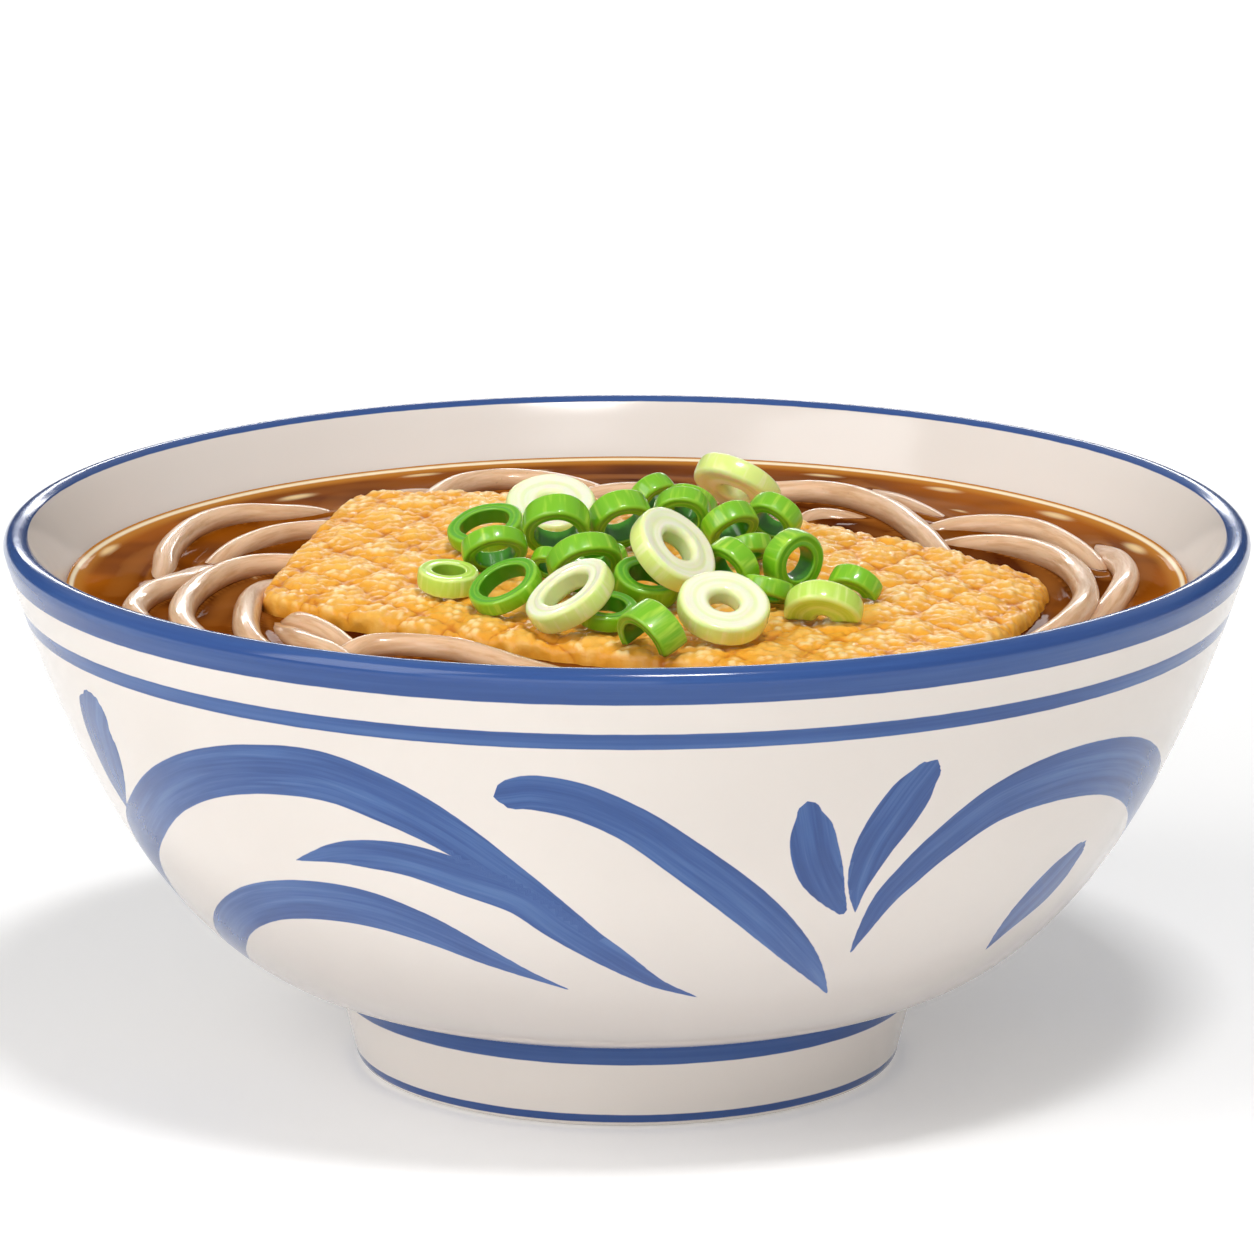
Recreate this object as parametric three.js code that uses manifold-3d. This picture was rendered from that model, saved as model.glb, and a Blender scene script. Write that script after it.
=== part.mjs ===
// Bowl of kitsune soba: a footed stoneware bowl of broth and thick buckwheat noodles,
// with one slice of fried tofu and a heap of chopped scallion rings on top.
// Millimetres, +Z up, origin at the middle of the foot's base.

import * as THREE from 'three';
import { mergeVertices } from 'three/addons/utils/BufferGeometryUtils.js';
import Module from 'manifold-3d';

const manifold = await Module();
manifold.setup();

// ---- driving dimensions ----

const SIDES = 56; // facets round the bowl
const GAP = 0.3; // clearance between a piece and what it touches

const RIM_RADIUS = 97.5; // outside of the rim
const BOWL_HEIGHT = 86;
const LIP_RADIUS = 2.2; // the rounded lip
const LIP_INNER_TURN = 146; // where the lip runs into the inner wall, degrees round it
const WALL_LEAN = 17; // degrees from upright where the wall meets the lip
const WALL_PULL = 22.7; // how far the wall keeps that lean
const BELLY_LEAN = 6.6; // degrees from level where the belly meets the foot
const BELLY_PULL = 29.4;
const FOOT_TOP_RADIUS = 46;
const FOOT_HEIGHT = 14.2;
const FOOT_BASE_RADIUS = 43;
const FOOT_ROUND = 2; // rounded lower edge of the foot
const FOOT_RING = 6; // width of the flat the bowl stands on
const FOOT_RECESS = 8; // hollow under the bowl
const FLOOR_HEIGHT = 17.5; // inside bottom of the bowl
const INNER_LEAN = 22; // degrees from upright of the inner wall below the soup
const INNER_PULL = 54;
const INNER_FLAT = 64;

const SOUP_RADIUS = 87.6; // inside of the wall at the soup's level
const SOUP_LEVEL = 76.3;

const NOODLE_RADIUS = 2.1;
const NOODLE_SIDES = 5;
const NOODLE_STEP = 7.5; // distance between a noodle's cross-sections
const CORE_TOP = 76.8; // the bundle of noodles just breaks the soup's surface
const CORE_RADIUS = 67; // least radius of the bundle
const CORE_MARGIN = 1.2; // bundle beyond the noodles that lie on it
const CORE_SIDES = 72;

const TOFU_THICKNESS = 8;
const TOFU_SIDES = 56;
const TOFU_SQUARENESS = 22; // exponent of the slice's rounded outline
const TOFU_CROWDING = 0.12; // draws the outline's points together at the corners
const TOFU_DOME = 1;
const TOFU_BACK_LIFT = 2.6; // the far edge lies over the noodles
const TOFU_DROOP = 1.2; // how far the edges sink
const CELL_WIDTH = 11; // the puffed cells of the fried skin
const CELL_DEPTH = 17;
const CELL_RELIEF = 0.9;

const SCALLION_SIDES = 12;
const SCALLION_GAP = 0.15;

// ---- the slice of fried tofu: corners of its upper face, and how far each side bows out ----

const TOFU_BACK_LEFT = [-44, 35.5, 83.4];
const TOFU_FRONT_LEFT = [-57.5, -21.5, 79.6];
const TOFU_BACK_RIGHT = [66.5, -7, 78.7];
const TOFU_FRONT_RIGHT = [42, -71, 78.9];
const TOFU_BOW = { back: 9, front: 8, left: 1, right: 5 };

// ---- noodles that show: x, y and height of the centre line over the bundle's top ----

const NOODLES = {
  left: [
    [[-74, -2, -3], [-73, 8, -0.6], [-73, 16, 0.1], [-71.5, 26, 0.5], [-68, 36, 0.6],
      [-62, 43, 0.6], [-56, 45, 0.2], [-50, 49, -1.8]],
    [[-66, 12, -2], [-63.5, 17.5, -0.4], [-61, 22, 0.4], [-55, 29, 0.6], [-49, 32.5, 0.5],
      [-41, 35, -1]],
    [[-66, -48, -2.2], [-73, -36, 0.4], [-76, -25, 0.8], [-74.5, -15, 0.8], [-72, -9.5, 0.8],
      [-69.5, -3.5, 0.3], [-67, 4, -0.6], [-62, 10, -2.2]],
    [[-58, -54, -2], [-65, -43, 0.2], [-68, -33, 0.8], [-68.5, -22, 1], [-67.5, -14, 1],
      [-65.5, -6.5, 1], [-62, 1.5, 1], [-57.5, 6.3, 0.9], [-52, 8.3, 0.6], [-44, 9, -1]],
    [[-50, -57, -2], [-56, -47, 0.4], [-58, -38, 0.8], [-58.5, -24, 0.8], [-58, -14, 0.3],
      [-56, -6, -0.6], [-51, 2, -2]],
  ],
  front: [
    [[-56, -20, -2.8], [-54, -26, -1.6], [-53, -31.5, -0.6], [-51, -38, 0], [-49, -43.5, 0.2],
      [-46, -49, 0], [-41, -57, -1], [-35, -66, -2.2]],
    [[-53, -23, -2.4], [-52, -26, -1.2], [-50.5, -31, -0.2], [-48.5, -34.5, 0.4],
      [-46, -38.5, 0.6], [-43.5, -43, 0.4], [-41, -48, -0.4], [-37, -55, -2]],
    [[-50, -56, -2.2], [-43, -51.5, -0.4], [-40, -48.5, 0.4], [-35, -47.5, 0.8], [-30, -48.5, 0.9],
      [-25, -51, 0.8], [-20, -56.5, 0.6], [-14, -63.5, 0.4], [-4, -71, 0.4], [10, -77, -1.6]],
    [[-62, -46, -2], [-52, -59, 0.6], [-36, -71, 1], [-16, -77.5, 0.8], [2, -80, 0.4],
      [20, -80, -2]],
    [[-30, -66, -2], [-16, -71, 0.8], [0, -74.5, 1], [16, -77, 0.8], [32, -76, -1.8]],
    [[-8, -80, -2], [10, -82, 0.4], [26, -80, 0.8], [42, -73, 1], [55, -62, 0.2], [62, -50, -2]],
  ],
  back: [
    [[-46, 52, -2.6], [-41, 57.5, -1.4], [-37, 61, -1], [-33, 63, -1], [-29, 63, -1.6],
      [-24, 60, -2.8]],
    [[-36, 38, -2], [-34, 45, -0.4], [-31.5, 54, 0.5], [-27, 63, 0.9], [-21, 67, 0.9],
      [-14.5, 67, 0.8], [-8.5, 65, 0.2], [-3, 62, -1.4], [1, 59, -2.6]],
    [[-30, 42, -2], [-24, 48, -0.6], [-19.5, 51, 0.4], [-13, 53.5, 0.4], [-8, 52, -1],
      [-3, 47, -2.6]],
    [[-15, 55, -2.2], [-8, 58, -0.6], [-3, 58.6, 0.4], [0.5, 58.5, 0.5], [7, 58.5, 0.3],
      [15, 58, -0.8], [21, 56, -1.4], [25, 51, -0.9], [27, 46, -1], [29, 39, -2.2]],
    [[14, 56, -2], [20, 57.5, 0], [25, 57.7, 0.9], [30, 57.5, 1.1], [35, 55, 1.1], [39, 50, 1.1],
      [43, 42, 1], [46, 32, 0.8], [49, 20, 0.4], [51, 11, -1.6]],
    [[39, 68, -2.6], [42, 61.7, -1.4], [44, 58, -1.1], [46.5, 53, -1], [49, 48.5, -1.3],
      [52, 43, -2.4]],
    [[27, 38, -2.6], [28.5, 43.5, -1.2], [31, 45.7, -0.3], [33.5, 45.8, -0.1], [36, 45.5, -1.2],
      [39, 44, -2.6]],
  ],
  right: [
    [[46, 35, -2.6], [51, 37.5, -1.2], [54, 37.2, 0.3], [59.5, 35.3, 0.7], [65.5, 30.5, 0.7],
      [70, 22, 0.5], [73, 15, -0.3], [75, 7, -1.8]],
    [[50, 27, -2.2], [54.5, 25, -0.4], [60.5, 20.3, 0.8], [66, 12.7, 1.1], [70, 1, 1.2],
      [71.2, -12, 1.2], [70.5, -23, 1.2], [67, -36, 0.9], [60, -49, 0.2], [51, -60, -2]],
    [[75, 27, -2.6], [76.6, 17, -0.8], [77.8, 9, 0.4], [78.3, 0, 0.9], [77.6, -7, 0.9],
      [75, -18.5, 0.6], [70.5, -30, -0.4], [65, -41, -2.2]],
  ],
};

// ---- scallions, in the order they were dropped on the heap ----
// x, y, lean of the axis in degrees, the way it leans, outer radius, wall, length, [arc in degrees]

const SCALLIONS = [
  ['green', -3, -45, 14, 290, 4.8, 2, 2.8],
  ['green', 21.5, -36, 25, 60, 4, 1.9, 3],
  ['green', -4, -19.5, 16, 200, 4.2, 1.8, 3],
  ['lime', -27.5, -25.5, 9, 290, 4.8, 2.2, 3.2],
  ['green', -22, -3, 21, 234, 6, 2.1, 2.8],
  ['green', 3, -35, 25, 292, 5.1, 2.2, 3.8],
  ['white', -12, 6, 23, 270, 7.3, 5.4, 3],
  ['green', -11, -11.5, 54, 90, 5.4, 1.9, 4.2],
  ['green', -20.5, -19.5, 45, 100, 5.1, 2, 3],
  ['green', -12, -21.5, 50, 65, 2.9, 1.5, 2.6],
  ['green', -1, -7, 56, 110, 5, 1.9, 4.2],
  ['green', 25.5, -27, 84, 128, 4.9, 2.2, 3.8],
  ['green', 16, -29, 70, 47, 4.6, 2, 3.6],
  ['green', 16, -6.5, 52, 123, 4.4, 1.9, 3.6],
  ['green', 19, -14.5, 30, 110, 3.6, 1.8, 3],
  ['green', 35, -29, 50, 60, 4.2, 2.6, 3.4, 200],
  ['lime', 30, -42, 50, 80, 6, 5.2, 4, 180],
  ['green', 23, -0.5, 60, 58, 4.3, 1.9, 3.6],
  ['green', 8.5, -3, 64, 84, 4.6, 1.9, 3.6],
  ['white', 17.5, 16, 42, 54, 7, 5, 3.6],
  ['green', 10, 5.5, 48, 66, 4.2, 1.9, 3.2],
  ['green', 4, 12.5, 58, 131, 3.8, 1.9, 3.4],
  ['green', -6.5, -30, 52, 108, 5.7, 2, 3.6],
  ['green', -18.5, -36, 32, 216, 5.8, 1.9, 2.8],
  ['white', -8.6, -46, 33, 205, 7.4, 3.4, 3.6],
  ['white', 14.5, -52, 29, 289, 7.1, 4.8, 3.6],
  ['green', 3.9, -57, 66, 38, 5.6, 1.7, 5, 200],
  ['white', 7, -35, 45, 326, 7.4, 4.6, 3.6],
];

// ---- colours ----

const GLAZE = { color: 0xf0e8e0, roughness: 0.18, metalness: 0 };
const BROTH = { color: 0x9a5620, roughness: 0.08, metalness: 0 };
const BUCKWHEAT = { color: 0xcfae8e, roughness: 0.35, metalness: 0 };
const FRIED_SKIN = { color: 0xe6a650, roughness: 0.4, metalness: 0 };
const SCALLION_COLOURS = {
  green: { color: 0x5cae1e, roughness: 0.3, metalness: 0 },
  lime: { color: 0xc2da48, roughness: 0.3, metalness: 0 },
  white: { color: 0xf6f3d8, roughness: 0.35, metalness: 0 },
};

// ---- general helpers ----

const degrees = THREE.MathUtils.degToRad;

function solidOf(geometry) {
  const vertProperties = new Float32Array(geometry.attributes.position.array);
  const triVerts = new Uint32Array(geometry.index.array);
  return new manifold.Manifold(new manifold.Mesh({ numProp: 3, vertProperties, triVerts }));
}

function geometryOf(solid) {
  const mesh = solid.getMesh();
  const geometry = new THREE.BufferGeometry();
  geometry.setAttribute('position', new THREE.BufferAttribute(mesh.vertProperties, 3));
  geometry.setIndex(new THREE.BufferAttribute(mesh.triVerts, 1));
  return geometry;
}

function signedVolume(geometry) {
  const corner = [new THREE.Vector3(), new THREE.Vector3(), new THREE.Vector3()];
  let volume = 0;
  for (let i = 0; i < geometry.index.count; i += 3) {
    corner.forEach((point, k) => {
      point.fromBufferAttribute(geometry.attributes.position, geometry.index.getX(i + k));
    });
    volume += corner[0].dot(corner[1].cross(corner[2])) / 6;
  }
  return volume;
}

// Welds equal points, drops all but position, and turns the faces outward.
function closedGeometry(geometry) {
  geometry.deleteAttribute('normal');
  geometry.deleteAttribute('uv');
  const welded = mergeVertices(geometry, 1e-4);
  const triangles = [];
  const index = welded.index.array;
  for (let i = 0; i < index.length; i += 3) {
    const [a, b, c] = [index[i], index[i + 1], index[i + 2]];
    if (a !== b && b !== c && c !== a) triangles.push(a, b, c);
  }
  welded.setIndex(triangles);
  if (signedVolume(welded) < 0) welded.setIndex(triangles.reverse());
  return welded;
}

// A closed skin over loops of equal length. Its ends are joined, or closed by a fan each.
function skin(loops, joined = false) {
  const count = loops[0].length;
  const points = loops.flat();
  const triangles = [];
  const bands = joined ? loops.length : loops.length - 1;
  for (let band = 0; band < bands; band += 1) {
    const here = band * count;
    const next = ((band + 1) % loops.length) * count;
    for (let i = 0; i < count; i += 1) {
      const j = (i + 1) % count;
      triangles.push(here + i, here + j, next + j, here + i, next + j, next + i);
    }
  }
  if (!joined) {
    [0, loops.length - 1].forEach((end) => {
      const middle = new THREE.Vector3();
      loops[end].forEach((point) => middle.addScaledVector(point, 1 / count));
      points.push(middle);
      const tip = points.length - 1;
      for (let i = 0; i < count; i += 1) {
        const j = (i + 1) % count;
        const [first, second] = end === 0 ? [j, i] : [i, j];
        triangles.push(tip, end * count + first, end * count + second);
      }
    });
  }
  const geometry = new THREE.BufferGeometry().setFromPoints(points);
  geometry.setIndex(triangles);
  return closedGeometry(geometry);
}

function revolve(profile, sides) {
  const lathe = new THREE.LatheGeometry(profile, sides);
  lathe.rotateX(Math.PI / 2);
  return closedGeometry(lathe);
}

function curvePoints(start, startPull, endPull, end, count) {
  const curve = new THREE.CubicBezierCurve(start, startPull, endPull, end);
  return curve.getPoints(count);
}

function polar(middle, radius, angle) {
  return new THREE.Vector2(
    middle.x + radius * Math.cos(degrees(angle)),
    middle.y + radius * Math.sin(degrees(angle)),
  );
}

// ---- the bowl ----

// From the soup's edge down the inner wall to the middle of the floor.
function innerWall(steps) {
  const lean = degrees(INNER_LEAN);
  const start = new THREE.Vector2(SOUP_RADIUS, SOUP_LEVEL);
  const pull = new THREE.Vector2(
    SOUP_RADIUS - INNER_PULL * Math.sin(lean),
    SOUP_LEVEL - INNER_PULL * Math.cos(lean),
  );
  const flat = new THREE.Vector2(INNER_FLAT, FLOOR_HEIGHT);
  return curvePoints(start, pull, flat, new THREE.Vector2(0, FLOOR_HEIGHT), steps);
}

function bowlGeometry() {
  const lip = new THREE.Vector2(RIM_RADIUS - LIP_RADIUS, BOWL_HEIGHT - LIP_RADIUS);
  const inner = innerWall(8).reverse();
  const lipAngles = [LIP_INNER_TURN, 120, 90, 55, 25, 0, -WALL_LEAN];
  const lipArc = lipAngles.map((angle) => polar(lip, LIP_RADIUS, angle));
  const wallTop = lipArc[lipArc.length - 1];
  const wallLean = degrees(WALL_LEAN);
  const wallPull = new THREE.Vector2(
    wallTop.x - WALL_PULL * Math.sin(wallLean),
    wallTop.y - WALL_PULL * Math.cos(wallLean),
  );
  const footTop = new THREE.Vector2(FOOT_TOP_RADIUS, FOOT_HEIGHT);
  const bellyLean = degrees(BELLY_LEAN);
  const bellyPull = new THREE.Vector2(
    footTop.x + BELLY_PULL * Math.cos(bellyLean),
    footTop.y + BELLY_PULL * Math.sin(bellyLean),
  );
  const wall = curvePoints(wallTop, wallPull, bellyPull, footTop, 9).slice(1);
  const footCorner = new THREE.Vector2(FOOT_BASE_RADIUS - FOOT_ROUND, FOOT_ROUND);
  const footEdge = [0, -45, -90].map((angle) => polar(footCorner, FOOT_ROUND, angle));
  const standInner = footCorner.x - FOOT_RING + FOOT_ROUND;
  const recess = [
    new THREE.Vector2(standInner, 0),
    new THREE.Vector2(standInner - 1, FOOT_RECESS - 1),
    new THREE.Vector2(standInner - 4, FOOT_RECESS),
    new THREE.Vector2(0, FOOT_RECESS),
  ];
  return revolve([...inner, ...lipArc, ...wall, ...footEdge, ...recess], SIDES);
}

// Everything inside the bowl up to a level, a gap away from the wall.
function cavityGeometry(level) {
  const wall = innerWall(8).map((point) => new THREE.Vector2(Math.max(0, point.x - GAP), point.y + GAP));
  const slope = Math.tan(degrees(INNER_LEAN));
  const top = new THREE.Vector2(wall[0].x + (level - wall[0].y) * slope, level);
  const profile = [new THREE.Vector2(0, level), top, ...wall.slice(1)];
  return revolve(profile, SIDES);
}

// ---- the noodles ----

function noodlePath(points) {
  return new THREE.CatmullRomCurve3(
    points.map(([x, y, lift]) => new THREE.Vector3(x, y, CORE_TOP + lift)),
    false,
    'centripetal',
  );
}

function noodleGeometry(points) {
  const path = noodlePath(points);
  const steps = Math.max(3, Math.round(path.getLength() / NOODLE_STEP));
  const loops = [];
  for (let i = 0; i <= steps; i += 1) {
    const centre = path.getPointAt(i / steps);
    const tangent = path.getTangentAt(i / steps);
    const across = new THREE.Vector3().crossVectors(tangent, new THREE.Vector3(0, 0, 1)).normalize();
    const above = new THREE.Vector3().crossVectors(across, tangent);
    const loop = [];
    for (let side = 0; side < NOODLE_SIDES; side += 1) {
      const angle = (2 * Math.PI * side) / NOODLE_SIDES;
      loop.push(centre.clone()
        .addScaledVector(across, NOODLE_RADIUS * Math.cos(angle))
        .addScaledVector(above, NOODLE_RADIUS * Math.sin(angle)));
    }
    loops.push(loop);
  }
  return skin(loops);
}

// Radius of the bundle at evenly spaced angles: wide enough to carry each noodle that shows.
function bundleOutline(strands) {
  const reach = new Array(CORE_SIDES).fill(CORE_RADIUS);
  const spread = 2;
  strands.forEach((strand) => {
    noodlePath(strand).getSpacedPoints(40).forEach((point) => {
      const turn = Math.atan2(point.y, point.x) / (2 * Math.PI);
      const nearest = Math.round(turn * CORE_SIDES);
      const radius = Math.hypot(point.x, point.y) + NOODLE_RADIUS + CORE_MARGIN;
      for (let k = nearest - spread; k <= nearest + spread; k += 1) {
        const side = (k + 2 * CORE_SIDES) % CORE_SIDES;
        reach[side] = Math.max(reach[side], radius);
      }
    });
  });
  return reach.map((radius, k) => {
    const before = reach[(k + CORE_SIDES - 1) % CORE_SIDES];
    const after = reach[(k + 1) % CORE_SIDES];
    return (before + 2 * radius + after) / 4;
  });
}

function bundlePrism(outline, grow, bottom, top) {
  const loops = [bottom, top].map((level) => outline.map((radius, k) => {
    const angle = (2 * Math.PI * k) / CORE_SIDES;
    return new THREE.Vector3((radius + grow) * Math.cos(angle), (radius + grow) * Math.sin(angle), level);
  }));
  return skin(loops);
}

// ---- the fried tofu ----

function tofuPoint(u, v) {
  const corner = (left, right, k) => ((1 - u) * left[k] + (1 + u) * right[k]) / 2;
  const point = [0, 1, 2].map((k) => {
    const front = corner(TOFU_FRONT_LEFT, TOFU_FRONT_RIGHT, k);
    const back = corner(TOFU_BACK_LEFT, TOFU_BACK_RIGHT, k);
    return ((1 - v) * front + (1 + v) * back) / 2;
  });
  const along = new THREE.Vector2(
    TOFU_BACK_RIGHT[0] - TOFU_BACK_LEFT[0],
    TOFU_BACK_RIGHT[1] - TOFU_BACK_LEFT[1],
  ).normalize();
  const away = new THREE.Vector2(-along.y, along.x);
  const bowV = (1 - u * u) * ((TOFU_BOW.back * (1 + v) - TOFU_BOW.front * (1 - v)) / 2) * Math.abs(v);
  const bowU = (1 - v * v) * ((TOFU_BOW.right * (1 + u) - TOFU_BOW.left * (1 - u)) / 2) * Math.abs(u);
  return new THREE.Vector3(
    point[0] + away.x * bowV + along.x * bowU,
    point[1] + away.y * bowV + along.y * bowU,
    point[2] + TOFU_DOME * (1 - u * u) * (1 - v * v) + TOFU_BACK_LIFT * (1 - u * u) * ((1 + v) / 2) ** 2,
  );
}

// Puffed cells between slanting grooves.
function cellRelief(x, y) {
  const rising = Math.sin(Math.PI * (x / CELL_WIDTH + y / CELL_DEPTH));
  const falling = Math.sin(Math.PI * (x / CELL_WIDTH - y / CELL_DEPTH));
  return CELL_RELIEF * (Math.sqrt(Math.abs(rising * falling)) - 0.5);
}

function tofuGeometry(grow) {
  const loopAt = (reach, drop, relief) => {
    const loop = [];
    for (let i = 0; i < TOFU_SIDES; i += 1) {
      const turn = (2 * Math.PI * (i + 0.5)) / TOFU_SIDES;
      const angle = turn + TOFU_CROWDING * Math.sin(4 * turn);
      const [c, s] = [Math.cos(angle), Math.sin(angle)];
      const power = Math.abs(c) ** TOFU_SQUARENESS + Math.abs(s) ** TOFU_SQUARENESS;
      const square = power ** (-1 / TOFU_SQUARENESS);
      const point = tofuPoint(reach * square * c, reach * square * s);
      const middle = tofuPoint(0, 0);
      const outward = new THREE.Vector2(point.x - middle.x, point.y - middle.y).normalize();
      point.x += outward.x * grow * 1.2 * reach;
      point.y += outward.y * grow * 1.2 * reach;
      point.z += relief * cellRelief(point.x, point.y) - drop;
      loop.push(point);
    }
    return loop;
  };
  const inside = [0.05, 0.16, 0.27, 0.38, 0.49, 0.6, 0.7, 0.79, 0.87];
  const loops = inside.map((reach) => loopAt(reach, -grow, 1));
  loops.push(loopAt(0.94, TOFU_DROOP * 0.35 - grow, 0.7));
  loops.push(loopAt(0.985, TOFU_DROOP - grow, 0.4));
  loops.push(loopAt(1, TOFU_THICKNESS * 0.5, 0));
  loops.push(loopAt(0.97, TOFU_THICKNESS * 0.85 + grow, 0));
  loops.push(loopAt(0.88, TOFU_THICKNESS + grow, 0));
  loops.push(loopAt(0.4, TOFU_THICKNESS + grow, 0));
  return skin(loops);
}

// ---- the scallions ----

function scallionGeometry(radius, wall, length, lean, heading, arc, grow) {
  const whole = arc === 360;
  const steps = whole ? SCALLION_SIDES : Math.round((SCALLION_SIDES * arc) / 360) + 1;
  const count = whole ? steps : steps + 1;
  const [outer, inner, half] = [radius + grow, Math.max(0.4, radius - wall - grow), length / 2 + grow];
  const section = [[outer, -half], [outer, half], [inner, half], [inner, -half]];
  const loops = [];
  for (let i = 0; i < count; i += 1) {
    const angle = degrees(heading + 180 - arc / 2 + (arc * i) / steps);
    loops.push(section.map(([r, z]) => new THREE.Vector3(r * Math.cos(angle), r * Math.sin(angle), z)));
  }
  const geometry = skin(loops, whole);
  const axis = new THREE.Vector3(
    Math.sin(degrees(lean)) * Math.cos(degrees(heading)),
    Math.sin(degrees(lean)) * Math.sin(degrees(heading)),
    Math.cos(degrees(lean)),
  );
  const turn = new THREE.Quaternion().setFromUnitVectors(new THREE.Vector3(0, 0, 1), axis);
  return geometry.applyQuaternion(turn);
}

// Height at which a piece let down at x, y first touches one of the solids below it.
function restingHeight(geometry, x, y, below) {
  const touches = (height) => {
    const lowered = solidOf(geometry.clone().translate(x, y, height));
    return below.some((solid) => !lowered.intersect(solid).isEmpty());
  };
  let clear = 120;
  while (!touches(clear - 1)) clear -= 1;
  let blocked = clear - 1;
  while (clear - blocked > 0.02) {
    const middle = (clear + blocked) / 2;
    if (touches(middle)) blocked = middle;
    else clear = middle;
  }
  return clear;
}

// ---- the model ----

function mesh(name, geometry, look) {
  const piece = new THREE.Mesh(geometry, new THREE.MeshStandardMaterial(look));
  piece.name = name;
  return piece;
}

// Of what a cut leaves, the piece with the most volume.
function largest(solid) {
  return solid.decompose().reduce((best, piece) => (piece.volume() > best.volume() ? piece : best));
}

const bowl = new THREE.Group();
bowl.add(mesh('bowl', bowlGeometry(), GLAZE));

const strands = Object.values(NOODLES).flat();
const outline = bundleOutline(strands);
const tofu = tofuGeometry(0);
const tofuSpace = solidOf(tofuGeometry(GAP));

const core = solidOf(bundlePrism(outline, 0, 0, CORE_TOP)).intersect(solidOf(cavityGeometry(CORE_TOP + 1)));
const bundle = strands.reduce((whole, strand) => whole.add(solidOf(noodleGeometry(strand))), core);
const noodles = largest(bundle.subtract(tofuSpace));
bowl.add(mesh('noodles', geometryOf(noodles), BUCKWHEAT));

const bundleSpace = solidOf(bundlePrism(outline, GAP, -10, BOWL_HEIGHT));
const broth = largest(solidOf(cavityGeometry(SOUP_LEVEL)).subtract(bundleSpace).subtract(tofuSpace));
bowl.add(mesh('broth', geometryOf(broth), BROTH));
bowl.add(mesh('fried_tofu', tofu, FRIED_SKIN));

const contents = [noodles, solidOf(tofu)];
SCALLIONS.forEach(([colour, x, y, lean, heading, radius, wall, length, arc = 360], k) => {
  const size = [radius, wall, length, lean, heading, arc];
  const height = restingHeight(scallionGeometry(...size, SCALLION_GAP), x, y, contents);
  const piece = scallionGeometry(...size, 0).translate(x, y, height);
  contents.push(solidOf(piece));
  bowl.add(mesh(`scallion_${String(k + 1).padStart(2, '0')}`, piece, SCALLION_COLOURS[colour]));
});

export default bowl;
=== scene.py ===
"""Bowl of kitsune soba: painted stoneware, broth, buckwheat noodles, one slice of fried tofu
and a heap of chopped scallion rings. Everything is worked out in millimetres, in the frame of
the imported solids, and turned into metres where a mesh is made."""

import itertools
import math

import bpy
import numpy as np
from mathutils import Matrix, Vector


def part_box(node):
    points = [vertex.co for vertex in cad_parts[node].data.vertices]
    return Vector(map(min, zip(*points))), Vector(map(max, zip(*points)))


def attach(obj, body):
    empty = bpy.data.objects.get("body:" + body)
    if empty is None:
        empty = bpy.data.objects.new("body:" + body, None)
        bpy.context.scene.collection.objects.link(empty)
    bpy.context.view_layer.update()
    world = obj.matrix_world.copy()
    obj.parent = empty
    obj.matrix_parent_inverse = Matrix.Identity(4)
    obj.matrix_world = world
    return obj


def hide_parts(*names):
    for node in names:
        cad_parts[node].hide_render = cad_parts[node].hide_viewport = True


MM = 0.001

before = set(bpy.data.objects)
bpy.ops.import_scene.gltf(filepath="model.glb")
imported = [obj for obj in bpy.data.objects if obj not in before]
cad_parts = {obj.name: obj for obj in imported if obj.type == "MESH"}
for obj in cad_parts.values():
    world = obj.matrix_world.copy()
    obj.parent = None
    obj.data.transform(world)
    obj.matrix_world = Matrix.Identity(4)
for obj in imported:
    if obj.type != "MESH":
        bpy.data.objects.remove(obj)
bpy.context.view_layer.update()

# ---- camera: the photograph's, worked out from the rim and the foot ----

VIEW_ELEVATION = 13.573  # degrees above the horizon
VIEW_DISTANCE = 1406.2
AIM_HEIGHT = 69.2
LENS = 257.1
SENSOR = 36
NEAREST_SEEN = 0.05  # metres
FARTHEST_SEEN = 30


def make_camera():
    """The camera looks level along +Y, leaning down to the aim."""
    data = bpy.data.cameras.new("camera")
    data.lens = LENS
    data.sensor_width = SENSOR
    data.clip_start = NEAREST_SEEN
    data.clip_end = FARTHEST_SEEN
    camera = bpy.data.objects.new("camera", data)
    lean = math.radians(VIEW_ELEVATION)
    camera.location = (
        0,
        -VIEW_DISTANCE * math.cos(lean) * MM,
        (AIM_HEIGHT + VIEW_DISTANCE * math.sin(lean)) * MM,
    )
    camera.rotation_euler = (math.pi / 2 - lean, 0, 0)
    bpy.context.collection.objects.link(camera)
    bpy.context.scene.camera = camera


# ---- sizes of the solids ----

RIM_RADIUS = 97.5
BOWL_HEIGHT = 86.0
LIP_RADIUS = 2.2
LIP_INNER_TURN = 146
WALL_LEAN = 17.0
WALL_PULL = 22.7
BELLY_LEAN = 6.6
BELLY_PULL = 29.4
FOOT_TOP_RADIUS = 46.0
FOOT_HEIGHT = 14.2
FOOT_BASE_RADIUS = 43.0
FOOT_ROUND = 2.0
FOOT_RING = 6.0
FOOT_RECESS = 8.0
FLOOR_HEIGHT = 17.5
INNER_LEAN = 22.0
INNER_PULL = 54.0
INNER_FLAT = 64.0
SOUP_RADIUS = 87.6
SOUP_LEVEL = 76.3

NOODLE_RADIUS = 2.1
CORE_TOP = 76.8

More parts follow.
